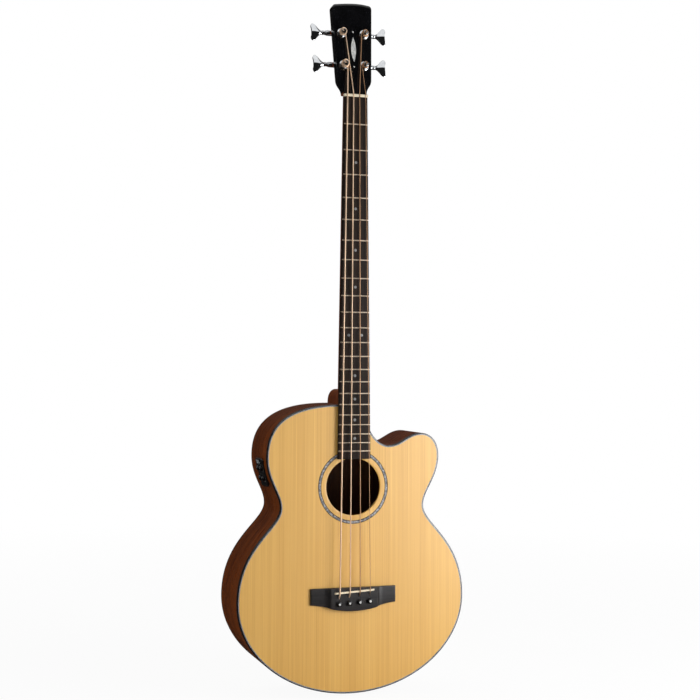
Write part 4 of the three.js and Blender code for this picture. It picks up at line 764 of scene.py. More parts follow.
# Gold-coloured brass of the ball ends.
BRASS = Finish("ball_brass", "#C9A35A", "#A07B3A", 0.3, (2.0, 2.0, 2.0), metallic=1.0)
# Rubber-like jacket of the inner lead.
RUBBER = Finish("lead_jacket", "#1B1B1C", "#111112", 0.6, (3.0, 3.0, 3.0), bump=0.02)


def dress(piece: Piece, finishes: Sequence[Finish], body: str, nodes: Sequence[str] = ()) -> Piece:
    """Gives a piece its finishes, its body and the nodes that it stands for.

    Args:
        piece: The piece, in place.
        finishes: Finishes in the order of its material slots.
        body: Body that it rides on; an empty name leaves that to the caller.
        nodes: Nodes that it stands for.

    Returns:
        The piece itself.
    """
    mesh = piece.data
    chosen = np.empty(len(mesh.polygons), np.int32)
    mesh.polygons.foreach_get("material_index", chosen)
    mesh.materials.clear()
    for finish in finishes:
        mesh.materials.append(finish.material())
    mesh.polygons.foreach_set("material_index", chosen)
    if body:
        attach(piece, body)
    if nodes:
        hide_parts(*nodes)
    LOG.info("%s: %d faces, %s", piece.name, len(piece.data.polygons), body or "bends")
    return piece


# Body


@dataclass
class Body:
    """Hollow body: top, ring, sides, back and the two bindings."""

    length: float = 502.6
    hole: tuple[float, float] = (0.0, 359.0)
    hole_radius: float = 49.8
    binding_width: float = 2.6
    binding_height: float = 6.0
    side_thickness: float = 2.4
    plate: float = 3.0
    depth_at_neck: float = 98.0
    depth_at_tail: float = 120.0
    neck_gap: float = 20.0  # half width of the binding's opening at the neck
    steps: int = 56  # points on each curve of the outline
    hairline: float = 0.02
    # Inner lines of the edging, a painted highlight along the binding: inset of the outer and inner edge, and 0
    # for pale or 1 for black.
    highlight_bands: tuple[tuple[float, float, int], ...] = ((2.05, 2.5, 0), (2.64, 3.1, 1), (3.1, 3.5, 0))
    highlight_band_rise: float = 0.05
    jack_y: float = 60.0
    jack_bore: float = 6.1
    rim: Array = field(init=False)

    def __post_init__(self) -> None:
        """Works out the rim: counter-clockwise from the tail, up the treble side."""
        flank = [(208.7, 163), (208.7, 261.21), (132.5, 290.19), (132.5, 324)]
        low = [(0, 0), (115.26, 0), (208.7, 72.97), (208.7, 163)]
        mirrored = [[(-x, z) for x, z in reversed(curve)] for curve in (flank, low)]
        curves = [
            low, flank,
            [(132.5, 324), (132.5, 349.52), (161.5, 371.52), (161.5, 412)],
            [(161.5, 412), (161.5, 435.3), (147.77, 451.5), (128, 451.5)],
            [(128, 451.5), (101.96, 451.5), (92.04, 430.5), (66, 430.5)],
            [(66, 430.5), (48.06, 430.5), (27, 453.25), (27, 476)],
        ]
        after = [
            [(-20, 502.6), (-116.25, 502.6), (-157.5, 471.46), (-157.5, 411)],
            [(-157.5, 411), (-157.5, 370.98), (-132.5, 349.23), (-132.5, 324)],
            *mirrored,
        ]
        wall = bezier([(27, 476), (27, 502.6)], 6)
        flat = np.array([(27.0, 502.6), (20.0, 502.6), (10.0, 502.6), (0.0, 502.6), (-10.0, 502.6)])
        self.rim = np.concatenate([
            *(bezier(curve, self.steps) for curve in curves), wall, flat,
            *(bezier(curve, self.steps) for curve in after),
        ])

    def back_at(self, z: Array) -> Array:
        """Depth of the back: a straight fall from the tail to the neck."""
        fall = self.depth_at_tail - self.depth_at_neck
        return self.depth_at_neck + (self.length - z) * fall / self.length

    def index_at(self, x: float) -> int:
        """Index of the rim's point at the flat top edge with that x."""
        return int(np.argmin(np.abs(self.rim - np.array([x, self.length])).sum(1)))

    def carried(self, section: Sequence[tuple[float, float, float]], chosen: NDArray[np.int64]) -> Array:
        """A section carried along the rim.

        A point lies inset from the rim along the mitre, at its depth plus a share of the back's.

        Args:
            section: Rows of inset, depth and share of the back's depth.
            chosen: Indices of the rim's points, in order.

        Returns:
            Grid of shape (chosen, section, 3).
        """
        row = np.array(section, float)
        rim, mitre = self.rim[chosen], outward(self.rim)[chosen]
        flat = rim[:, None] - row[None, :, :1] * mitre[:, None]
        depth = row[None, :, 1] + row[None, :, 2] * self.back_at(rim[:, 1])[:, None]
        return np.stack([flat[..., 0], depth, flat[..., 1]], -1)

    def rays(self, inset: float, stations: Sequence[tuple[float, float, float, float]]) -> Array:
        """Rings about the soundhole's middle that grow into the rim's outline.

        The radius is a plus b times (rim radius minus a); the depth is d plus the back's depth
        times the last share.

        Args:
            inset: Distance of the outermost ring from the rim.
            stations: Rows of a, b, d and the share of the back's depth.

        Returns:
            Grid of shape (stations, rim, 3).
        """
        row = np.array(stations, float)
        edge = self.rim - inset * outward(self.rim)
        arm = edge - np.array(self.hole)
        reach = np.linalg.norm(arm, axis=1)
        radius = row[:, :1] + row[:, 1:2] * (reach[None] - row[:, :1])
        flat = np.array(self.hole) + radius[..., None] * (arm / reach[:, None])[None]
        depth = row[:, 2:3] + row[:, 3:4] * self.back_at(flat[..., 1])
        return np.stack([flat[..., 0], depth, flat[..., 1]], -1)

    def soundboard(self) -> None:
        """Top plate: rings from the hole to the binding, with the seat of the ring inlay."""
        edge = self.hole_radius
        inner = [(edge, 0, 2.6, 0), (edge, 0, 0.5, 0), (49.95, 0, 0.15, 0), (50.4, 0, 0, 0), (54, 0, 0, 0)]
        seat = [(58.85, 0, 0, 0), (58.85, 0, 1.3, 0), (64.75, 0, 1.3, 0), (64.75, 0, 0, 0), (68, 0, 0, 0)]
        shares = (0.15, 0.35, 0.6, 0.85, 0.97, 1.0)
        out = [(68, share, 0, 0) for share in shares]
        back = [(68, share, self.plate, 0) for share in reversed(shares)]
        under = [(68, 0, self.plate, 0), (51, 0, self.plate, 0), (edge, 0, self.plate, 0)]
        rows = self.rays(self.binding_width + self.hairline, inner + seat + out + back + under)
        face = len(inner + seat + out)
        surface = Surface().grid(rows[:face]).grid(rows[face - 1:], slot=1)
        surface.grid(np.stack([rows[-1], rows[0]]), slot=1)
        dress(surface.build("spruce_top"), [SPRUCE, BRACE_SPRUCE], "guitar", ["soundboard"])

    def ring_inlay(self) -> None:
        """Flat ring of shell, let into the top flush with its face."""
        profile = [
            (59.0, 1.0), (59.0, 0.1), (59.1, 0.0), (61.8, -0.02), (64.5, 0.0), (64.6, 0.1), (64.6, 1.0),
        ]
        rows = turned(np.array(profile), steps=192, centre=(self.hole[0], 0, self.hole[1]))
        surface = Surface().grid(rows, wrap_rows=True)
        dress(surface.build("shell_ring"), [RING], "guitar", ["rosette"])

    def bindings(self) -> None:
        """Two bands of celluloid with rounded outer edges; the front one is open at the neck."""
        width, height = self.binding_width, self.binding_height
        ease = [(0.0, 2.3), (0.12, 1.45), (0.5, 0.75), (1.05, 0.32), (1.7, 0.1), (2.2, 0.02)]
        front = [(0.0, height)] + ease + [(width, 0.0), (width, height)]
        start, end = self.index_at(-self.neck_gap), self.index_at(self.neck_gap)
        chosen = np.concatenate([np.arange(start, len(self.rim)), np.arange(0, end + 1)])
        rows = self.carried([(i, d, 0) for i, d in front], chosen)
        band = Surface().loft(rows).build("front_binding_band")
        dress(band, [BINDING], "guitar", ["front_binding"])
        # Pale strips on the front binding's rounded edge: painted highlight of its gloss.
        lines = Surface()
        for outer, inner, slot in self.highlight_bands:
            first, last = np.interp([outer, inner], *zip(*ease)) - self.highlight_band_rise
            strip = [(outer, first, 0), (inner, last, 0), (inner, 0.4, 0), (outer, 0.4, 0)]
            lines.loft(self.carried(strip, chosen), slot=slot)
        dress(lines.build("binding_highlight_strips"), [PAINTED_HIGHLIGHT, BINDING], "guitar", ["front_binding"])
        back = [(i, -d, 1) for i, d in front]
        rows = self.carried(back, np.arange(len(self.rim)))
        surface = Surface().grid(rows, wrap_rows=True)
        dress(surface.build("back_binding_band"), [BINDING], "guitar", ["back_binding"])

    def sides(self) -> None:
        """Bent sides in two halves that meet at the tail, cut out for the panel and the jack."""
        top = self.index_at(0.0)
        halves = {
            "treble_side": np.arange(0, top + 1),
            "bass_side": np.concatenate([np.arange(top, len(self.rim)), [0]]),
        }
        thick, edge = self.side_thickness, self.binding_height + self.hairline
        shares = np.linspace(0, 1, 9)
        outside = [(0.0, edge * (1 - 2 * s), s) for s in shares]
        inside = [(thick, edge * (1 - 2 * s), s) for s in shares[::-1]]
        for node, chosen in halves.items():
            rows = self.carried(outside + inside, chosen)
            count = len(outside)
            surface = Surface().grid(rows[:, :count], wrap_columns=False)
            surface.grid(rows[:, count - 1:], wrap_columns=False, slot=1)
            surface.grid(np.stack([rows[:, -1], rows[:, 0]], 1), wrap_columns=False, slot=1)
            surface.fan(rows[0], 1).fan(rows[-1], 1)
            piece = surface.build(f"{node}_wood")
            piece.data.materials.append(SIDE_MAHOGANY.material())
            piece.data.materials.append(SHADED_RAW_MAHOGANY.material())
            tools = [drill("jack_bore_tool", self.jack_bore, (-12.0, 30.0), centre=(0, self.jack_y, 0),
                           axis=Axis.ALONG, steps=32)]
            if node == "bass_side":
                window = Surface().loft(slab(
                    fillet([(-16.8, -22.3), (16.8, -22.3), (16.8, 22.3), (-16.8, 22.3)], 1.0),
                    [(34.0, 0.0), (-14.0, 0.0)],
                ))
                tools.append(window.build("window_tool", PANEL))
            carve(piece, tools)
            dress(piece, [SIDE_MAHOGANY, SHADED_RAW_MAHOGANY], "guitar", [node])

    def back(self) -> None:
        """Back plate: rings from a closed middle to the binding, raw on its inner face."""
        shares = (0.0, 0.2, 0.45, 0.7, 0.9, 1.0)
        outer = [(0, share, 0, 1) for share in shares]
        inner = [(0, share, -self.plate, 1) for share in reversed(shares)]
        rows = self.rays(self.binding_width + self.hairline, outer + inner)
        surface = Surface().grid(rows[: len(outer) + 1]).grid(rows[len(outer):], slot=1)
        dress(surface.build("mahogany_back_plate"), [BACK_MAHOGANY, SHADED_RAW_MAHOGANY], "guitar",
              ["back_plate"])

    def jack(self) -> None:
        """Output jack in the tail: a ring with a rounded edge and an open bore."""
        profile = fillet([
            (0.0, 30.0), (3.3, 30.0), (3.3, -4.0), (5.6, -4.0), (6.2, -3.2), (9.0, -2.4), (9.0, -0.02),
            (5.8, -0.02), (5.8, 40.0), (0.0, 40.0),
        ], 0.5, 4, closed=False)
        surface = Surface().grid(turned(profile, Axis.ALONG, 64, (0, self.jack_y, 0)))
        dress(surface.build("tail_jack"), [CHROME], "guitar", ["endpin_jack"])

    def build(self) -> None:
        """Builds the body's pieces."""
        self.soundboard()
        self.ring_inlay()
        self.bindings()
        self.sides()
        self.back()
        self.jack()


# Neck and head


@dataclass
class Neck:
    """Neck with heel and head, fretboard, frets, markers and nut."""

    scale_length: float = 864.0
    fret_count: int = 22
    nut_width: float = 43.0
    end_width: float = 60.0
    board_length: float = 635.5657
    board_top: float = 6.3
    board_radius: float = 400.0
    depth_at_nut: float = 15.0
    depth_at_joint: float = 18.5
    heel_start: float = 502.62
    heel_back: float = 95.98
    fret_height: float = 1.1
    fret_width: float = 2.4
    dot_radius: float = 2.5
    cap_half: float = 15.0  # half width and length of the heel's foot
    cap_length: float = 25.0
    root_half: float = 26.0  # and of its root at the shaft
    root_length: float = 62.0
    head_thickness: float = 15.0
    ferrule_bore: float = 6.1
    hairline: float = 0.02

    def half_width(self, z: Array) -> Array:
        """Half width: a straight taper from the nut to the board's end."""
        share = (NUT_Z - z) / self.board_length
        return (self.nut_width + (self.end_width - self.nut_width) * share) / 2

    def camber(self, x: Array) -> Array:
        """Fall of the board's face away from its middle line: radius minus the circle's height."""
        return self.board_radius - np.sqrt(self.board_radius**2 - np.asarray(x) ** 2)

    def fret_z(self, fret: Array) -> Array:
        """Height of a fret: the scale times one minus two to the power of minus a twelfth."""
        return NUT_Z - self.scale_length * (1 - 2.0 ** (-np.asarray(fret) / 12))

    def shaft(self) -> Surface:
        """Shaft: half width times cosine across, depth times sine to the 0.8 behind."""
        z = np.concatenate([np.linspace(self.heel_start, NUT_Z, 40), [NUT_Z + 5.0, NUT_Z + 12.0]])
        angle = np.linspace(0, math.pi, 33)
        share = (NUT_Z - z) / (NUT_Z - 502.6)
        depth = self.depth_at_nut + (self.depth_at_joint - self.depth_at_nut) * share
        x = self.half_width(z)[:, None] * np.cos(angle)
        y = depth[:, None] * np.clip(np.sin(angle), 0, 1) ** 0.8
        lean = np.clip(z - NUT_Z, 0, None)[:, None] * 0.11
        rows = np.stack([x, np.maximum(y, lean), np.broadcast_to(z[:, None], x.shape)], -1)
        return Surface().loft(rows)

    def heel(self) -> Surface:
        """Heel: rings that shrink towards the back and draw in fast from the shaft."""
        shares = (0, 0.04, 0.1, 0.2, 0.38, 0.65, 1)
        depth = np.concatenate([np.linspace(0, 0.2, 16), np.linspace(0.22, 1, 18)])
        wider, longer = self.root_half - self.cap_half, self.root_length - self.cap_length
        width = self.cap_half + wider * steady(depth, shares, (1, 0.98, 0.9, 0.72, 0.45, 0.18, 0))
        long = self.cap_length + longer * steady(depth, shares, (1, 0.75, 0.5, 0.28, 0.11, 0.03, 0))
        angle = np.linspace(0, math.pi, 33)
        front = self.depth_at_joint / 2
        x = -width[:, None] * np.cos(angle)
        z = self.heel_start + long[:, None] * np.clip(np.sin(angle), 0, 1) ** 0.8
        y = np.broadcast_to((front + (self.heel_back - front) * depth)[:, None], x.shape)
        return Surface().loft(np.stack([x, y, z], -1))

    def wood(self) -> None:
        """Shaft, heel, tenon and head joined as one piece of mahogany."""
        piece = self.shaft().build("neck_wood")
        head = Surface().loft(slab(Head().outline(), eased(0.0, self.head_thickness, 1.6)))
        tenon = Surface().loft(slab(
            np.array([(-12.0, 488.6), (12.0, 488.6), (12.0, 516.9), (-12.0, 516.9)]), [(80.0, 0), (3.3, 0)],
        ))
        tools = [self.heel().build("heel_tool"), head.build("head_tool", HEAD), tenon.build("tenon_tool")]
        carve(piece, tools, Cut.JOIN, 40.0)
        bores = [drill("post_bore_tool", self.ferrule_bore, (-2.0, 17.0), HEAD, (x, 0, z)) for x, z in POSTS]
        rod = Surface().loft(slab(np.array([(-3.3, 480.0), (3.3, 480.0), (3.3, 1031.3), (-3.3, 1031.3)]),
                                  [(11.5, 0), (-2.0, 0)]))
        carve(piece, bores + [rod.build("rod_room_tool")], Cut.AWAY, 40.0)
        self.blacken(piece)
        dress(piece, [NECK_MAHOGANY, HEAD_GLOSS], "guitar", ["neck"])

    def blacken(self, piece: Piece) -> None:
        """Puts the second finish on the head's edge: faces past the nut that stand square to its face."""
        mesh = piece.data
        count = len(mesh.polygons)
        centre, normal = np.empty(count * 3), np.empty(count * 3)
        mesh.polygons.foreach_get("center", centre)
        mesh.polygons.foreach_get("normal", normal)
        local = HEAD.local(centre.reshape(-1, 3))
        square = np.abs(normal.reshape(-1, 3) @ np.array(HEAD.depth)) < 0.6
        edge = square & (local[:, 2] > 3.0) & (local[:, 1] < 15.1)
        mesh.polygons.foreach_set("material_index", edge.astype(np.int32))

    def heel_plate(self) -> None:
        """Black cap on the heel, with an eased edge."""
        angle = np.linspace(0, math.pi, 41)
        along = self.cap_length * np.clip(np.sin(angle), 0, 1) ** 0.8
        outline = np.stack([self.cap_half * np.cos(angle), self.heel_start + along], 1)
        surface = Surface().loft(slab(outline, [(96.0, 0), (97.4, 0), (97.8, 0.15), (98.0, 0.5)]))
        dress(surface.build("heel_plate"), [HEAD_GLOSS], "guitar", ["heel_cap"])

    def board(self) -> None:
        """Fretboard: a cambered face with eased edges, carried along its taper."""
        end = NUT_Z - self.board_length
        z = np.array([end, end + 0.4, 560, 700, 860, NUT_Z - self.hairline])
        shares = np.linspace(-1, 1, 25)
        half = self.half_width(z)[:, None]
        x = (half - 0.5) * shares
        y = -self.board_top + self.camber(x)
        face = np.stack([x, y, np.broadcast_to(z[:, None], x.shape)], -1)
        rim = -self.board_top + self.camber(half[:, 0])
        eases = [(0.15, 0.18), (0.0, 0.6)]  # inset and fall of the rounded edge
        right = [np.stack([half[:, 0] - inset, rim + fall, z], -1) for inset, fall in eases]
        foot = np.stack([half[:, 0], np.full(len(z), -self.hairline), z], -1)
        half_ring = np.stack([*right, foot], 1)
        mirror = half_ring[:, ::-1] * np.array([-1, 1, 1])
        rows = np.concatenate([face, half_ring, mirror], 1)
        dress(Surface().loft(rows).build("rosewood_board"), [ROSEWOOD], "guitar", ["fretboard"])

    def frets(self) -> None:
        """Frets: a half ellipse across the wire, bent to the camber, with bevelled ends."""
        surface = Surface()
        angle = np.linspace(0, math.pi, 9)
        for z in self.fret_z(np.arange(1, self.fret_count + 1)):
            half = self.half_width(z) - 0.25
            x = np.concatenate([[-half, -half + 0.35, -half + 1.0], np.linspace(-half + 3, half - 3, 13),
                                [half - 1.0, half - 0.35, half]])
            rise = np.clip((half - np.abs(x)) / 0.9, 0.12, 1) ** 0.6
            top = -self.board_top + self.camber(x)
            y = top[:, None] - self.fret_height * rise[:, None] * np.sin(angle)
            along = z - self.fret_width / 2 * np.cos(angle)
            crown = np.stack([np.broadcast_to(x[:, None], y.shape), y, np.broadcast_to(along, y.shape)], -1)
            sunk = crown[:, [-1, 0]] + np.array([0, 0.5, 0])
            surface.loft(np.concatenate([crown, sunk], 1))
        dress(surface.build("fret_wires"), [NICKEL], "guitar", ["fretboard"])

    def markers(self) -> None:
        """Pearl dots in the face and small ones in the bass edge, flush with the wood."""
        surface = Surface()
        singles = [3, 5, 7, 9, 15, 17, 19, 21]
        places = [(0.0, fret) for fret in singles] + [(-11.9, 12), (11.9, 12)]
        radius = np.array([0.0, 0.5, 0.97, 1.0, 1.0]) * self.dot_radius
        sink = np.array([-0.06, -0.06, -0.05, -0.01, 0.8])
        angle = np.linspace(0, 2 * math.pi, 36, endpoint=False)
        for x, fret in places:
            z = (self.fret_z(fret) + self.fret_z(fret - 1)) / 2
            across = x + radius[:, None] * np.cos(angle)
            along = z + radius[:, None] * np.sin(angle)
            depth = -self.board_top + self.camber(across) + sink[:, None]
            rows = np.stack([across, depth, along], -1)
            surface.grid(rows).fan(rows[-1])
        side = [(fret, 0.0) for fret in singles] + [(12, -4.0), (12, 4.0)]
        for fret, shift in side:
            z = float((self.fret_z(fret) + self.fret_z(fret - 1)) / 2) + shift
            edge = -float(self.half_width(z))
            profile = np.array([(0.0, -0.05), (0.85, -0.05), (0.95, 0.0), (0.95, 0.6)])
            rows = turned(profile, Axis.ACROSS, 20, (edge, -3.0, z))
            surface.grid(rows).fan(rows[-1])
        dress(surface.build("pearl_dots"), [DOT], "guitar", ["fretboard"])

    def nut(self) -> None:
        """Bone nut: a section with a rounded top, lowered where each string lies in it."""
        half = self.nut_width / 2
        x = np.linspace(-half, half, 301)
        top = -9.1 + self.camber(x) * 0.8
        for spot, wire in zip(STRING_SHARES * NUT_SPREAD, WIRES):
            inside = np.abs(x - spot) < wire / 2 + 0.15
            groove = -7.86 - wire / 2 + np.sqrt(np.clip((wire / 2 + 0.15) ** 2 - (x - spot) ** 2, 0, None))
            top = np.where(inside, np.maximum(top, np.minimum(groove, -7.86)), top)
        end = np.clip((half - np.abs(x)) / 0.7, 0, 1)
        top = top + 0.7 * (1 - np.sqrt(1 - (1 - end) ** 2))
        along = np.array([0.0, 0.0, 0.2, 0.9, 2.6, 4.0, 4.8, 5.0, 5.0])
        share = np.array([0.0, 0.93, 0.985, 1.0, 0.985, 0.93, 0.86, 0.78, 0.0])
        y = -self.hairline + share * (top[:, None] + self.hairline)
        z = np.broadcast_to(NUT_Z + along, y.shape)
        rows = np.stack([np.broadcast_to(x[:, None], y.shape), y, z], -1)
        dress(Surface().loft(rows).build("bone_nut", sharp=50.0), [BONE], "guitar", ["nut"])

    def build(self) -> None:
        """Builds the neck's pieces."""
        self.wood()
        self.heel_plate()
        self.board()
        self.frets()
        self.markers()
        self.nut()


@dataclass
class Head:
    """Face of the head: its outline, its black veneer and the inlay between the posts."""

    inlay_half: float = 4.5
    inlay_length: float = 46.0
    inlay_z: float = 82.25
    dot_distance: float = 32.0
    ferrule_bore: float = 6.1

    def outline(self) -> Array:
        """Counter-clockwise outline from the foot on the treble side."""
        curves = [
            [(21.5, 0), (21.5, 14.5), (31.5, 14.5), (31.5, 29)],
            [(31.5, 29), (37, 158.15)],
            [(37, 158.15), (37, 166.15), (29, 166.15)],
            [(29, 166.15), (10, 170.1), (-29, 164.35)],
            [(-29, 164.35), (-37, 164.35), (-37, 156.35)],
            [(-37, 156.35), (-31.5, 29)],
            [(-31.5, 29), (-31.5, 14.5), (-21.5, 14.5), (-21.5, 0)],
            [(-21.5, 0), (21.5, 0)],
        ]
        return np.concatenate([bezier(curve, 14) for curve in curves])

    def oval(self, half: float, length: float) -> Array:
        """Pointed oval between two quadratic curves."""
        low, high = self.inlay_z - length / 2, self.inlay_z + length / 2
        right = bezier([(0, low), (2 * half, self.inlay_z), (0, high)], 28)
        left = bezier([(0, high), (-2 * half, self.inlay_z), (0, low)], 28)
        return np.concatenate([right, left])

    def veneer(self) -> None:
        """Veneer with an eased front edge, bored for the posts' ferrules."""
        levels = [(-0.02, 0.0), (-1.2, 0.0), (-1.55, 0.12), (-1.72, 0.35), (-1.8, 0.7)]
        piece = Surface().loft(slab(self.outline(), levels)).build("head_veneer", HEAD)
        bores = [drill("veneer_bore_tool", self.ferrule_bore, (-4.0, 2.0), HEAD, (x, 0, z)) for x, z in POSTS]
        carve(piece, bores)
        dress(piece, [HEAD_GLOSS], "guitar", ["headstock_veneer"])

    def inlay(self) -> None:
        """Slim pointed oval with a round dot above and below it, flush in the veneer."""
        oval = self.oval(self.inlay_half, self.inlay_length)
        surface = Surface().loft(slab(oval, [(-1.0, 0), (-1.83, 0), (-1.86, 0.25)]))
        dot = np.array([(0, -1.86), (1.3, -1.86), (1.5, -1.83), (1.5, -1.0)])
        for z in (self.inlay_z - self.dot_distance, self.inlay_z + self.dot_distance):
            rows = turned(dot, steps=24, centre=(0, 0, z))
            surface.grid(rows).fan(rows[-1])
        dress(surface.build("head_inlay", HEAD), [PEARL], "guitar", ["headstock_inlay"])

    def build(self) -> None:
        """Builds the head's face."""
        self.veneer()
        self.inlay()


# Bridge and strings


@dataclass
class Bridge:
    """Bridge with thinned wings and a belly, its saddle and its four pins."""

    saddle_z: float = 177.966
    top_z: float = 184.466
    wing_z: float = 155.866
    belly_z: float = 143.966
    half_length: float = 78.5
    wing_start: float = 43.0
    height: float = 8.5
    wing_height: float = 3.4
    slant: float = math.tan(math.radians(3.2))
    pin_z: float = 158.966
    pin_spread: float = 56.4
    saddle_half: float = 36.5
    saddle_top: float = 11.72

    def pins_at(self) -> list[tuple[float, float]]:
        """Places of the pins, bass to treble, on a line slanted as the saddle is."""
        return [(x, self.pin_z + x * self.slant) for x in STRING_SHARES * self.pin_spread]

    def wood(self) -> None:
        """Bridge: a section with eased edges, carried from wing to wing.

        The lower edge follows two quadratic curves a side; the height falls from the middle's to
        the wings' by a curve that is steep at first and then flat.
        """
        knee = self.wing_start + (self.half_length - self.wing_start) / 2
        middle = (self.wing_z + self.belly_z) / 2
        lower = np.concatenate([
            bezier([(0, self.belly_z), (21.0, self.belly_z), (39.0, middle - 1.6)], 24),
            bezier([(39.0, middle - 1.6), (49.0, middle + 1.8), (knee, self.wing_z - 1.2),
                    (self.half_length - 0.8, self.wing_z)], 24),
            [(self.half_length - 0.8, self.wing_z + 0.1), (self.half_length - 0.25, self.wing_z + 0.4),
             (self.half_length, self.wing_z + 1.2)],
        ])
        lower = np.concatenate([lower[:0:-1] * np.array([-1, 1]), lower])
        x, low = lower[:, 0], lower[:, 1]
        fall = steady(np.clip((np.abs(x) - self.wing_start) / (self.half_length - self.wing_start), 0, 1),
                      (0, 0.12, 0.3, 1), (1, 0.45, 0.15, 0))
        tall = self.wing_height + (self.height - self.wing_height) * fall
        tip = np.clip((self.half_length - np.abs(x)) / 0.8, 0, 1)
        tall = tall - 0.6 * (1 - np.sqrt(1 - (1 - tip) ** 2))
        high = np.full_like(x, self.top_z) - 0.8 * (1 - np.sqrt(1 - (1 - tip) ** 2))
        ease = np.array([(0.0, 1.5), (0.1, 0.85), (0.45, 0.35), (1.0, 0.08), (1.6, 0.0)])
        z = np.concatenate([
            low[:, None] + np.zeros(1), low[:, None] + ease[:, 0], high[:, None] - ease[::-1, 0],
            high[:, None] + np.zeros(1),
        ], 1)
        lift = np.concatenate([[[99.0]], ease[None, :, 1], ease[None, ::-1, 1], [[99.0]]], 1)
        y = np.minimum(-tall[:, None] + lift, -0.02)
        rows = np.stack([np.broadcast_to(x[:, None], z.shape), y, z], -1)
        dress(Surface().loft(rows).build("bridge_wood"), [BRIDGE_WOOD], "guitar", ["bridge"])

    def saddle(self) -> None:
        """Bone saddle: a slanted blade with a rounded top and ends."""
        x = np.linspace(-self.saddle_half, self.saddle_half, 61)
        end = np.clip((self.saddle_half - np.abs(x)) / 2.2, 0, 1)
        top = -self.saddle_top + 1.8 * (1 - np.sqrt(1 - (1 - end) ** 2))
        around = np.linspace(0, math.pi, 9)
        along = np.concatenate([[-1.5], -1.5 * np.cos(around), [1.5]])
        lift = np.concatenate([[0.0], 0.9 * (1 - np.sin(around)), [0.0]])
        y = top[:, None] + lift[None]
        y[:, 0] = y[:, -1] = -3.9
        z = self.saddle_z + x[:, None] * self.slant + along[None]
        rows = np.stack([np.broadcast_to(x[:, None], y.shape), y, z], -1)
        dress(Surface().loft(rows).build("bone_saddle"), [BONE], "guitar", ["saddle"])

    def pins(self) -> None:
        """Turned pins with a collar, a domed head and a pearl dot in its crown."""
        profile = fillet([
            (0.0, 8.0), (2.3, 8.0), (2.9, -8.52), (4.8, -8.52), (4.8, -9.9), (4.3, -10.6), (4.5, -11.6),
            (3.7, -12.9), (2.0, -13.18), (0.0, -13.2),
        ], 0.6, 4, closed=False)
        dot = np.array([(0.0, -13.2), (1.6, -13.2), (1.95, -13.16), (2.0, -12.9), (0.0, -12.9)])
        dot[:, 1] -= 0.03
        for name, (x, z) in zip(STRING_NAMES, self.pins_at()):
            pin = Surface().grid(turned(profile, steps=40, centre=(x, 0, z)))
            dress(pin.build(f"pin_{name}"), [BLACK_PLASTIC], "guitar", [f"bridge_pin_{name}"])
            crown = Surface().grid(turned(dot, steps=32, centre=(x, 0, z)))
            dress(crown.build(f"pin_dot_{name}"), [PEARL], "guitar", [f"bridge_pin_{name}"])

    def build(self) -> None:
        """Builds the bridge's pieces."""
        self.wood()
        self.saddle()
        self.pins()


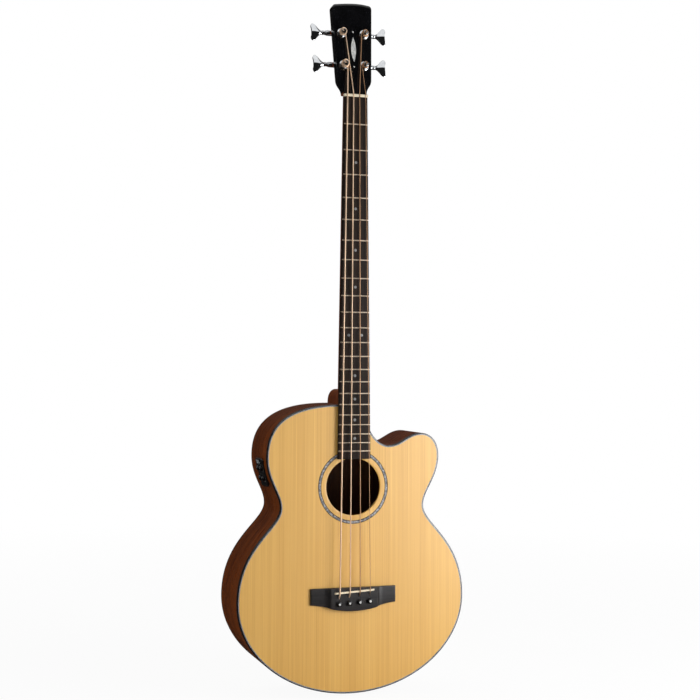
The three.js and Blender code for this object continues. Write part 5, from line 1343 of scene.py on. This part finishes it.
@dataclass
class Strings:
    """Four wound strings, each one unbroken wire from its ball end to its post."""

    post_radius: float = 4.4
    veneer_top: float = 1.8
    ferrule_rise: float = 1.4
    gap: float = 0.3
    wrap_top: float = 12.1
    turns: float = 2.25
    section: int = 12
    ball_depth: float = 11.6
    hole_depth: float = 3.5
    pin_radius: float = 2.9
    bend_reach: float = 3.2
    nut_length: float = 5.3
    blend_start: float = -12.0  # below the post's axis, along the head
    blend_end: float = -6.5

    def coil(self, index: int) -> Array:
        """Turns on the post: a helix that ends in a small bend to the middle of the slot.

        The radius is the post's plus the gap and the wire's; the height rises evenly.

        Args:
            index: Number of the string, from the bass side.

        Returns:
            Points in the head's frame.
        """
        radius = WIRES[index] / 2
        bend = 0.9 + 1.05 * radius
        circle = self.post_radius + self.gap + radius
        sweep = math.acos(-bend / (circle - bend))
        low = self.veneer_top + self.gap + self.ferrule_rise + self.gap + radius
        angle = np.linspace(0, 2 * math.pi * self.turns, 109)
        helix = np.stack([
            circle * np.cos(angle), circle * np.sin(angle),
            low + (self.wrap_top - low) * angle / angle[-1],
        ], 1)
        inner = angle[-1] + sweep * np.linspace(0, 1, 13)[1:]
        middle = circle - bend
        entry = np.stack([
            middle * math.cos(angle[-1]) + bend * np.cos(inner),
            middle * math.sin(angle[-1]) + bend * np.sin(inner),
            np.full(12, self.wrap_top),
        ], 1)
        way = inner[-1] + math.pi / 2
        last = np.array([[0.6 * math.cos(way), 0.6 * math.sin(way), self.wrap_top]])
        points = np.concatenate([helix, entry, last])
        x, z = POSTS[index]
        return np.stack([x - math.copysign(1, x) * points[:, 0], -points[:, 2], z + points[:, 1]], 1)

    def route(self, index: int, bridge: Bridge) -> Array:
        """The whole way of one string in the body's frame."""
        x, z = bridge.pins_at()[index]
        radius = WIRES[index] / 2
        hole = z + self.pin_radius + self.gap + radius
        saddle_z = bridge.saddle_z + x * bridge.slant - 1.5 - self.gap - radius / 2
        ball, turn = np.array([x, self.ball_depth, hole]), np.array([x, -self.hole_depth, hole])
        saddle = np.array([x, -11.8 - radius, saddle_z])
        before = turn + (ball - turn) / np.linalg.norm(ball - turn) * self.bend_reach
        after = turn + (saddle - turn) / np.linalg.norm(saddle - turn) * self.bend_reach
        t = np.linspace(0, 1, 9)[:, None]
        corner = before * (1 - t) ** 2 + 2 * turn * t * (1 - t) + after * t**2
        nut_x = STRING_SHARES[index] * NUT_SPREAD
        nut_y = -7.9 - radius
        drift = (nut_x - x) / (NUT_Z - bridge.saddle_z) * self.nut_length
        nut = np.array([nut_x, nut_y, NUT_Z])
        way = nut - saddle
        rounded = saddle + way * (np.array([0.0, 0.35, 1.1]) / np.linalg.norm(way))[:, None]
        span = saddle + way * np.linspace(0.02, 1, 24)[:, None]
        coil = (HEAD.row(self.coil(index)) - BODY.row(np.zeros(3))) * MM_PER_M
        behind = np.array([nut_x + drift, nut_y, NUT_Z + self.nut_length])
        lead = behind + (coil[0] - behind) * np.linspace(0, 1, 7)[:-1, None]
        return np.concatenate([[ball], corner, rounded, span, lead, coil])

    def tube(self, route: Array, radius: float) -> Array:
        """Circle carried along a route: its sides turn with the least twist.

        Each ring stands square to the mean of its two chords; the frame is carried on by taking
        the last side, less its part along the new chord.

        Args:
            route: Points of the middle line.
            radius: Radius of the wire.

        Returns:
            Grid of shape (route, section, 3).
        """
        chord = np.diff(route, axis=0)
        chord /= np.linalg.norm(chord, axis=1, keepdims=True)
        tangent = np.concatenate([chord[:1], chord[1:] + chord[:-1], chord[-1:]])
        tangent /= np.linalg.norm(tangent, axis=1, keepdims=True)
        side = np.empty_like(tangent)
        last = np.array([1.0, 0.0, 0.0])
        for step, way in enumerate(tangent):
            last = last - way * (last @ way)
            last /= np.linalg.norm(last)
            side[step] = last
        other = np.cross(tangent, side)
        angle = np.linspace(0, 2 * math.pi, self.section, endpoint=False)
        ring = np.cos(angle)[None, :, None] * side[:, None] + np.sin(angle)[None, :, None] * other[:, None]
        return route[:, None] + radius * ring

    def build(self) -> None:
        """Builds the strings; the turns follow the post and the speaking length stays."""
        bridge = Bridge()
        for index, name in enumerate(STRING_NAMES):
            route = self.route(index, bridge)
            surface = Surface().loft(self.tube(route, WIRES[index] / 2))
            ball = turned(
                fillet([(0, -2.8), (2.8, -2.8), (2.8, 2.8), (0, 2.8)], 0.7, 4, closed=False), Axis.ACROSS, 24,
                tuple(route[0]),
            )
            surface.grid(ball, slot=1)
            piece = surface.build(f"wound_string_{name}", sharp=60.0)
            # The two thick strings take the paler bronze, a painted highlight.
            winding = HIGHLIT_BRONZE if index < 2 else THIN_BRONZE
            dress(piece, [winding, BRASS], "", [f"string_{name}"])
            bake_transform(piece)


# Tuning machines


@dataclass
class TuningMachine:
    """One geared machine: post, ferrule, housing with its screw, and key."""

    name: str
    side: int  # -1 bass, +1 treble
    x: float
    z: float
    slot_angle: float
    wire: float
    teeth: int = 20
    housing_front: float = 15.02
    housing_back: float = 28.3
    worm_y: float = 22.3
    worm_z: float = 7.1
    key_start: float = 27.6
    key_length: float = 22.6
    key_height: float = 31.2
    key_ridge: float = 6.0
    key_edge: float = 2.6
    key_waist: float = 6.4
    key_round: float = 0.45
    hollow_radius: float = 26.0
    hollow_depth: float = 1.8

    def post(self) -> None:
        """Post with a slot across its top, its hub, pin and worm gear."""
        place = HEAD.moved(self.x, 0, self.z)
        profile = fillet([
            (0, 25.3), (2.6, 25.3), (2.6, 23.0), (3.6, 22.5), (3.6, 19.7), (4.4, 19.7), (4.4, -13.9),
            (3.9, -14.5), (0, -14.5),
        ], 0.35, 4, closed=False)
        piece = Surface().grid(turned(profile, steps=56)).build(f"post_{self.name}_stem", place)
        angle = np.linspace(0, 2 * math.pi, 160, endpoint=False)
        tooth = 4.1 + 0.4 * np.clip(1.6 * np.cos(self.teeth * angle), -1, 1)
        flat = np.stack([tooth * np.cos(angle), tooth * np.sin(angle)], 1)
        rows = np.stack([
            np.stack([flat[:, 0], np.full(160, depth), flat[:, 1]], -1) for depth in (20.8, 23.8)
        ])
        gear = Surface().loft(rows).build("gear_tool", place)
        carve(piece, [gear], Cut.JOIN)
        turn = math.pi / 2 - self.slot_angle
        corners = np.array([(-2.2, -8.0), (2.2, -8.0), (2.2, 8.0), (-2.2, 8.0)])
        spun = np.stack([
            corners[:, 0] * math.cos(turn) + corners[:, 1] * math.sin(turn),
            -corners[:, 0] * math.sin(turn) + corners[:, 1] * math.cos(turn),
        ], 1)
        floor = -12.1 + self.wire / 2 + 0.3
        slot = Surface().loft(slab(spun, [(floor, 0), (-17.0, 0)])).build("slot_tool", place)
        carve(piece, [slot])
        dress(piece, [CHROME], f"post_{self.name}", [f"tuner_post_{self.name}"])

    def ferrule(self) -> None:
        """Ferrule round the post: a stepped, rounded flange on the veneer and a shank in the wood."""
        profile = fillet([
            (4.7, 9.0), (5.8, 9.0), (5.8, -1.82), (8.4, -1.82), (8.4, -2.5), (7.6, -2.9), (6.6, -3.1),
            (6.2, -3.5), (4.7, -3.5),
        ], 0.3, 4)
        surface = Surface().grid(turned(profile, steps=64), wrap_rows=True)
        piece = surface.build(f"ferrule_{self.name}", HEAD.moved(self.x, 0, self.z))
        dress(piece, [CHROME], "guitar", [f"tuner_ferrule_{self.name}"])

    def housing(self) -> None:
        """Cast housing with rounded edges and a boss round the key's shaft, hollow for the worm."""
        place = HEAD.moved(self.x, 0, self.z)
        outline = fillet([(-8.5, -8.0), (8.5, -8.0), (8.5, 12.4), (-8.5, 12.4)], 3.2, 7)
        levels = eased(self.housing_front, self.housing_back, 1.9)
        piece = Surface().loft(slab(outline, levels)).build(f"housing_{self.name}", place)
        outside = [(4.9, 0.0), (4.9, 18.5), (4.6, 20.8), (4.4, 22.0), (4.0, 22.4)]
        inside = [
            (2.1, -6.8), (2.1, -4.8), (2.6, -4.8), (2.6, 4.8), (2.1, 4.8), (2.1, 10.9), (3.1, 10.9), (3.1, 24.0),
        ]
        boss, worm = (
            Surface().loft(turned(
                np.array(profile) * np.array([1, self.side]), Axis.ACROSS, steps, (0, self.worm_y, self.worm_z),
            )).build(name, place)
            for name, profile, steps in (("boss_tool", outside, 40), ("worm_tool", inside, 28))
        )
        carve(piece, [boss], Cut.JOIN)
        carve(piece, [drill("room_tool", 5.3, (13.0, 24.1), place, steps=32), worm])
        dress(piece, [CHROME], "guitar", [f"tuner_housing_{self.name}"])

    def screw(self) -> None:
        """Small cross-headed screw in the back of the housing.

        The head is a dome; it sinks where the distance to either arm of the cross is small.
        """
        radius = np.linspace(0, 2.2, 23)[:, None]
        angle = np.linspace(0, 2 * math.pi, 72, endpoint=False)
        x, z = radius * np.cos(angle), radius * np.sin(angle)
        dome = 0.7 * np.sqrt(np.clip(1 - (radius / 2.25) ** 2, 0, 1))
        arm = np.minimum(np.abs(x), np.abs(z))
        cross = np.clip((0.42 - arm) / 0.16, 0, 1) * np.clip((1.5 - radius) / 0.2, 0, 1)
        y = self.housing_back + dome - 0.55 * cross
        rows = np.stack([x, y, z], -1)
        rim = rows[-1] * np.array([1, 0, 1]) + np.array([0, self.housing_back - 0.2, 0])
        surface = Surface().grid(np.concatenate([rows, rim[None]])).fan(rim)
        place = HEAD.moved(self.x, 0, self.z - 4.2)
        dress(surface.build(f"screw_{self.name}", place, 40.0), [CHROME], "guitar",
              [f"tuner_housing_{self.name}"])

    def key(self) -> None:
        """Key: two lobes beside a ridge, with a hollow outer edge, on a stepped shaft.

        Half height is the waist plus the lobes' share; half thickness falls from the ridge to the
        lobes' edges by one minus the height to the 1.25; the outer edge is a wide circle's arc.
        """
        place = HEAD.moved(self.x, self.worm_y, self.z + self.worm_z)
        shares = (0, 0.14, 0.3, 0.46, 0.6, 0.74, 0.86, 0.95, 1)
        heights = (0, 0.02, 0.16, 0.46, 0.76, 0.95, 1, 0.9, 0.72)
        share = np.concatenate([np.linspace(0, 0.9, 26), np.linspace(0.915, 1, 8)])
        half = self.key_waist / 2 + (self.key_height - self.key_waist) / 2 * steady(share, shares, heights)
        angle = np.linspace(0, 2 * math.pi, 64, endpoint=False)
        level = np.sign(np.sin(angle)) * np.abs(np.sin(angle)) ** 0.85
        edge, ridge = self.key_edge / 2, self.key_ridge / 2
        thick = (edge + (ridge - edge) * (1 - np.abs(level)) ** 1.25) * np.abs(np.cos(angle)) ** 0.28
        tail = np.concatenate([np.ones(len(share)), [0.9, 0.62, 0.3, 0.0]])
        share = np.concatenate([share, np.ones(4)])
        half = np.concatenate([half, half[-1] - np.array([0.05, 0.2, 0.45, 0.8])])
        z = half[:, None] * level
        y = np.sign(np.cos(angle)) * thick * tail[:, None]
        arc = self.hollow_radius - np.sqrt(self.hollow_radius**2 - z**2)
        reach = self.key_length - np.clip(self.hollow_depth - arc, 0, None)
        x = self.key_start + share[:, None] * (reach - self.key_round) + self.key_round * (1 - tail[:, None])
        surface = Surface().grid(np.stack([self.side * x, y, z], -1))
        surface.fan(np.stack([self.side * x[0], y[0], z[0]], -1))
        shaft = fillet([
            (0, -6.5), (1.8, -6.5), (1.8, -4.5), (2.3, -4.5), (2.3, 4.5), (1.8, 4.5), (1.8, 11.2),
            (2.8, 11.2), (2.8, 22.7), (4.0, 22.7), (4.0, 23.9), (3.4, 24.5), (3.4, 25.4), (3.9, 26.2),
            (3.9, 28.4), (0, 29.6),
        ], 0.3, 3, closed=False)
        surface.grid(turned(shaft * np.array([1, self.side]), Axis.ACROSS, 40))
        dress(surface.build(f"key_{self.name}_button", place, 40.0), [CHROME], f"key_{self.name}",
              [f"tuner_key_{self.name}"])

    def build(self) -> None:
        """Builds the machine's pieces."""
        self.post()
        self.ferrule()
        self.housing()
        self.screw()
        self.key()


def machines() -> list[TuningMachine]:
    """The four machines; each post's slot lies along the last bend of its string."""
    made = []
    for index, (name, (x, z)) in enumerate(zip(STRING_NAMES, POSTS)):
        before, last = Strings().coil(index)[-2:] - np.array([x, 0.0, z])
        way = math.atan2(last[2] - before[2], last[0] - before[0])
        made.append(TuningMachine(name, 1 if x > 0 else -1, x, z, way, WIRES[index]))
    return made


# Preamp


class Control(Enum):
    """The four turned controls: name, place across and along the panel."""

    TREBLE = ("treble", -9.0, 8.0)
    VOLUME = ("volume", 9.0, 8.0)
    MIDDLE = ("middle", -9.0, -10.0)
    BASS = ("bass", 9.0, -10.0)


@dataclass
class Preamp:
    """Preamp in the bass side: a panel with a display, four knobs and a push button."""

    corner: tuple[float, float] = (19.5, 25.0)
    button_at: tuple[float, float, float] = (-11.0, 0.0, 17.5)

    def panel(self) -> None:
        """Moulded plate with round corners and a raised border, bored for what passes through."""
        y, z = self.corner
        corners = [(-y, -z), (y, -z), (y, z), (-y, z)]
        levels = [(0.0, 0.0), (-1.5, 0.0), (-2.1, 0.2), (-2.36, 0.6), (-2.4, 1.2), (-2.38, 1.9), (-2.0, 2.2),
                  (-1.95, 2.6)]
        piece = Surface().loft(slab(fillet(corners, 4.5, 8), levels)).build("preamp_plate", PANEL)
        tools = [
            drill("knob_bore_tool", 1.9, (-4.0, 2.0), PANEL, (y, 0, z), steps=24)
            for _, y, z in (control.value for control in Control)
        ]
        tools.append(drill("button_bore_tool", 2.7, (-5.0, 2.0), PANEL, self.button_at, steps=28))
        carve(piece, tools)
        dress(piece, [PANEL_PLASTIC], "guitar", ["preamp_panel"])

    def display(self) -> None:
        """Clear window with an eased edge, at the upper back corner of the panel."""
        corners = [(-1.0, 15.6), (16.5, 15.6), (16.5, 22.4), (-1.0, 22.4)]
        levels = [(-1.5, 0), (-2.3, 0), (-2.38, 0.15), (-2.4, 0.5)]
        surface = Surface().loft(slab(fillet(corners, 1.2, 5), levels))
        dress(surface.build("display_window", PANEL), [DISPLAY], "guitar", ["preamp_panel"])

    def marks(self) -> None:
        """Short printed ticks round each knob, from least to most."""
        surface = Surface()
        for control in Control:
            _, y, z = control.value
            for angle in np.radians(np.linspace(-60, 240, 11)):
                along = np.array([math.cos(angle), math.sin(angle)])
                across = np.array([-along[1], along[0]]) * 0.16
                centre = np.array([y, z])
                flat = np.array([
                    centre + along * 6.0 - across, centre + along * 7.1 - across,
                    centre + along * 7.1 + across, centre + along * 6.0 + across,
                ])
                surface.loft(slab(flat, [(-1.8, 0), (-2.0, 0)]))
        dress(surface.build("printed_ticks", PANEL), [PRINT], "guitar", ["preamp_panel"])

    def knobs(self) -> None:
        """Fluted knobs: the radius ripples round the head, and a pointer is let into each cap."""
        angle = np.linspace(0, 2 * math.pi, 120, endpoint=False)
        stem = [(0.0, 0.9), (1.6, 0.9), (1.6, -2.7)]
        head = [(3.9, -2.75), (4.6, -2.95), (4.6, -3.6), (4.42, -3.9), (4.3, -5.5), (4.1, -6.0),
                (3.5, -6.28), (2.6, -6.3), (0.0, -6.2)]
        fluted = np.array([0] * 6 + [1, 1, 0.8, 0, 0, 0])[:, None]
        ripple = 1 - 0.035 * (0.5 + 0.5 * np.cos(24 * angle)) * fluted
        for control in Control:
            name, y, z = control.value
            rows = turned(np.array(stem + head), steps=len(angle))
            rows[..., 0] *= ripple
            rows[..., 2] *= ripple
            place = PANEL.moved(y, 0, z)
            piece = Surface().grid(rows).build(f"{name}_knob_cap", place)
            dress(piece, [BLACK_PLASTIC], name, [f"{name}_knob"])
            flat = fillet([(-0.35, 0.8), (0.35, 0.8), (0.35, 3.7), (-0.35, 3.7)], 0.2, 4)
            pointer = Surface().loft(slab(flat, [(-6.0, 0), (-6.3, 0)]))
            dress(pointer.build(f"{name}_pointer", place), [PRINT], name, [f"{name}_knob"])

    def button(self) -> None:
        """Round push button with a dished cap."""
        profile = fillet([(0, 0.8), (2.4, 0.8), (2.4, -3.9), (1.6, -4.0), (0, -3.75)], 0.25, 4, closed=False)
        surface = Surface().grid(turned(profile, steps=40))
        piece = surface.build("push_button", PANEL.moved(*self.button_at))
        dress(piece, [BLACK_PLASTIC], "button", ["tuner_button"])

    def build(self) -> None:
        """Builds the preamp's pieces."""
        self.panel()
        self.display()
        self.marks()
        self.knobs()
        self.button()


@dataclass
class InnerWork:
    """Solids inside the body that keep their shape and take a finish."""

    finishes: dict[str, Finish] = field(default_factory=lambda: {
        "front_lining": PALE_WOOD, "back_lining": PALE_WOOD, "neck_block": PALE_WOOD, "tail_block": PALE_WOOD,
        "x_brace": BRACE_SPRUCE, "upper_brace": BRACE_SPRUCE, "bridge_plate": PALE_WOOD,
        # The back's braces take the darkened raw mahogany: painted shade where light through the soundhole would
        # fall on them.
        "back_bracing": SHADED_RAW_MAHOGANY, "truss_rod": STEEL, "truss_rod_nut": STEEL, "saddle_pickup": BRASS,
        "preamp_case": PANEL_PLASTIC, "battery": PANEL_PLASTIC, "output_lead": RUBBER,
    })

    def build(self) -> None:
        """Gives each inner solid its finish."""
        for node, finish in self.finishes.items():
            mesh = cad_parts[node].data
            mesh.materials.clear()
            mesh.materials.append(finish.material())
            LOG.info("%s: %s", node, finish.name)


# Studio


@dataclass(frozen=True)
class Lamp:
    """A rectangular soft lamp; its place, its aim and its width and height are in metres."""

    name: str
    where: tuple[float, float, float]
    aim: tuple[float, float, float]
    size: tuple[float, float]
    level: float  # share of a written colour that it alone would show at the aim


@dataclass
class Studio:
    """Camera, white surround, pale floor and soft lights."""

    lamps: tuple[Lamp, ...] = (
        Lamp("key_lamp", (1.02, -0.98, -0.56), (0.0, 0.0, -0.8), (0.8, 1.0), 0.96),
        Lamp("neck_lamp", (1.4, -0.9, 0.35), (0.0, 0.0, -0.05), (0.5, 0.9), 0.1),
        Lamp("fill_lamp", (-2.4, -1.0, 0.2), (0.0, 0.0, -0.7), (1.2, 1.8), 0.06),
    )
    focal: float = 1291.5  # in pixels of a frame 700 wide
    centre: tuple[float, float] = (270.0, 325.0)  # pixel that the camera's axis meets
    angles: tuple[float, float, float] = (-1.546, -16.334, 0.354)  # pitch, yaw and roll in degrees
    position: tuple[float, float, float] = (-778.4, -2140.3, -483.2)
    frame_width: float = 700.0
    sensor: float = 36.0
    floor_z: float = -1068.5
    floor_half: float = 9000.0
    dim: float = 0.012  # strength of the room's lower half and of the floor in gloss

    def camera(self) -> None:
        """Camera at the photograph's view: roll after pitch after yaw, from a camera that looks along +y."""
        pitch, yaw, roll = (
            np.array(Matrix.Rotation(math.radians(angle), 3, axis)) for angle, axis in zip(self.angles, "XYZ")
        )
        upright = np.array([[1, 0, 0], [0, 0, -1], [0, 1, 0]])
        rows = roll @ pitch @ yaw @ upright
        matrix = np.eye(4)
        matrix[:3, :3] = np.stack([rows[0], -rows[1], -rows[2]], 1)
        matrix[:3, 3] = np.array(self.position) / MM_PER_M
        data = bpy.data.cameras.new("camera")
        data.sensor_width = self.sensor
        data.lens = self.focal / self.frame_width * self.sensor
        data.shift_x = (self.frame_width / 2 - self.centre[0]) / self.frame_width
        data.shift_y = (self.centre[1] - self.frame_width / 2) / self.frame_width
        data.clip_end = 60.0
        camera = bpy.data.objects.new("camera", data)
        camera.matrix_world = Matrix(matrix.tolist())
        bpy.context.scene.collection.objects.link(camera)
        bpy.context.scene.camera = camera

    def light(self, lamp: Lamp) -> None:
        """Adds a lamp; its power is its level times pi squared times its distance squared."""
        data = bpy.data.lights.new(lamp.name, "AREA")
        data.shape = "RECTANGLE"
        data.size, data.size_y = lamp.size
        way = np.array(lamp.aim) - np.array(lamp.where)
        distance = float(np.linalg.norm(way))
        data.energy = lamp.level * math.pi**2 * distance**2
        piece = bpy.data.objects.new(lamp.name, data)
        back = -way / distance
        right = np.cross([0.0, 0.0, 1.0], back)
        right /= np.linalg.norm(right)
        up = np.cross(back, right)
        matrix = np.eye(4)
        matrix[:3, :3] = np.stack([right, up, back], 1)
        matrix[:3, 3] = lamp.where
        piece.matrix_world = Matrix(matrix.tolist())
        bpy.context.scene.collection.objects.link(piece)

    def surround(self) -> None:
        """World: plain grey light for the object and white for the camera and through glass.

        In gloss the white is a wide band overhead, over a dim room, which gives the chrome its
        dark lower halves and rims and keeps the sides' brown.
        """
        world = bpy.data.worlds.new("surround")
        world.use_nodes = True
        tree = world.node_tree
        tree.nodes.clear()
        path = add_node(tree, "ShaderNodeLightPath")
        way = add_node(tree, "ShaderNodeTexCoord").outputs["Generated"]
        height = add_node(tree, "ShaderNodeSeparateXYZ", links={0: way}).outputs[2]
        low = add_node(tree, "ShaderNodeMapRange", {"From Min": 0.5, "From Max": 0.62, "To Min": self.dim},
                       {"Value": height})
        top = add_node(
            tree, "ShaderNodeMapRange", {"From Min": 0.9, "From Max": 0.97, "To Min": 1.0, "To Max": 0.1},
            {"Value": height},
        )
        room = add_node(
            tree, "ShaderNodeMath", {"operation": "MULTIPLY"}, {0: low.outputs[0], 1: top.outputs[0]},
        )
        behind = add_node(tree, "ShaderNodeSeparateXYZ", links={0: way}).outputs[1]
        soft = add_node(
            tree, "ShaderNodeMapRange", {"From Min": 0.0, "From Max": 0.5, "To Min": 0.14, "To Max": 0.92},
            {"Value": behind},
        )
        plain = add_node(tree, "ShaderNodeBackground", {"Strength": 1.0}, {"Color": soft.outputs[0]})
        white = add_node(tree, "ShaderNodeBackground", {"Color": linear("#FFFFFF"), "Strength": 1.0})
        gloss = add_node(tree, "ShaderNodeBackground", {"Strength": 1.0}, {"Color": room.outputs[0]})
        clear = add_node(tree, "ShaderNodeMath", {"operation": "MAXIMUM"},
                         {0: path.outputs["Is Camera Ray"], 1: path.outputs["Is Transmission Ray"]})
        first = add_node(tree, "ShaderNodeMixShader",
                         links={0: path.outputs["Is Glossy Ray"], 1: plain.outputs[0], 2: gloss.outputs[0]})
        second = add_node(tree, "ShaderNodeMixShader",
                          links={0: clear.outputs[0], 1: first.outputs[0], 2: white.outputs[0]})
        add_node(tree, "ShaderNodeOutputWorld", links={"Surface": second.outputs[0]})
        bpy.context.scene.world = world

    def floor(self) -> None:
        """Pale floor: white to the camera, with a share of lit paint that keeps the shadow.

        The share of paint ends a few metres away, and in gloss the floor is as dim as the
        surround's lower half.
        """
        steps = np.linspace(-self.floor_half, self.floor_half, 7)
        grid = np.stack(np.meshgrid(steps, steps, indexing="ij"), -1)
        points = np.concatenate([grid, np.full((7, 7, 1), self.floor_z)], -1)
        floor = Surface().grid(points, wrap_columns=False).build("studio_floor", Place((0, 0, 0)))
        paint = bpy.data.materials.new("floor_paint")
        paint.use_nodes = True
        tree = paint.node_tree
        tree.nodes.clear()
        path = add_node(tree, "ShaderNodeLightPath")
        lit = add_node(tree, "ShaderNodeBsdfDiffuse", {"Color": linear("#F4F4F4")})
        glow = add_node(tree, "ShaderNodeEmission", {"Color": linear("#FFFFFF"), "Strength": 1.0})
        dim = add_node(tree, "ShaderNodeEmission", {"Color": linear("#FFFFFF"), "Strength": self.dim})
        clear = add_node(tree, "ShaderNodeMath", {"operation": "MAXIMUM"},
                         {0: path.outputs["Is Camera Ray"], 1: path.outputs["Is Transmission Ray"]})
        near = add_node(tree, "ShaderNodeVectorMath", {"operation": "LENGTH"},
                        {0: add_node(tree, "ShaderNodeTexCoord").outputs["Object"]})
        pale = add_node(tree, "ShaderNodeMapRange", {"From Min": 1.2, "From Max": 2.6, "To Min": 0.94},
                        {"Value": near.outputs["Value"]})
        share = add_node(
            tree, "ShaderNodeMath", {"operation": "MULTIPLY"}, {0: clear.outputs[0], 1: pale.outputs[0]},
        )
        low = add_node(tree, "ShaderNodeMixShader",
                       links={0: path.outputs["Is Glossy Ray"], 1: lit.outputs[0], 2: dim.outputs[0]})
        mix = add_node(
            tree, "ShaderNodeMixShader", links={0: share.outputs[0], 1: low.outputs[0], 2: glow.outputs[0]},
        )
        add_node(tree, "ShaderNodeOutputMaterial", links={"Surface": mix.outputs[0]})
        floor.data.materials.append(paint)

    def build(self) -> None:
        """Sets up the studio."""
        self.camera()
        self.surround()
        self.floor()
        for lamp in self.lamps:
            self.light(lamp)
        bpy.context.scene.view_settings.view_transform = "Standard"


def main() -> None:
    logging.basicConfig(level=logging.INFO, format="%(message)s")
    Studio().build()
    Body().build()
    Neck().build()
    Head().build()
    Bridge().build()
    Strings().build()
    for machine in machines():
        machine.build()
    Preamp().build()
    InnerWork().build()


if __name__ == "__main__":
    main()
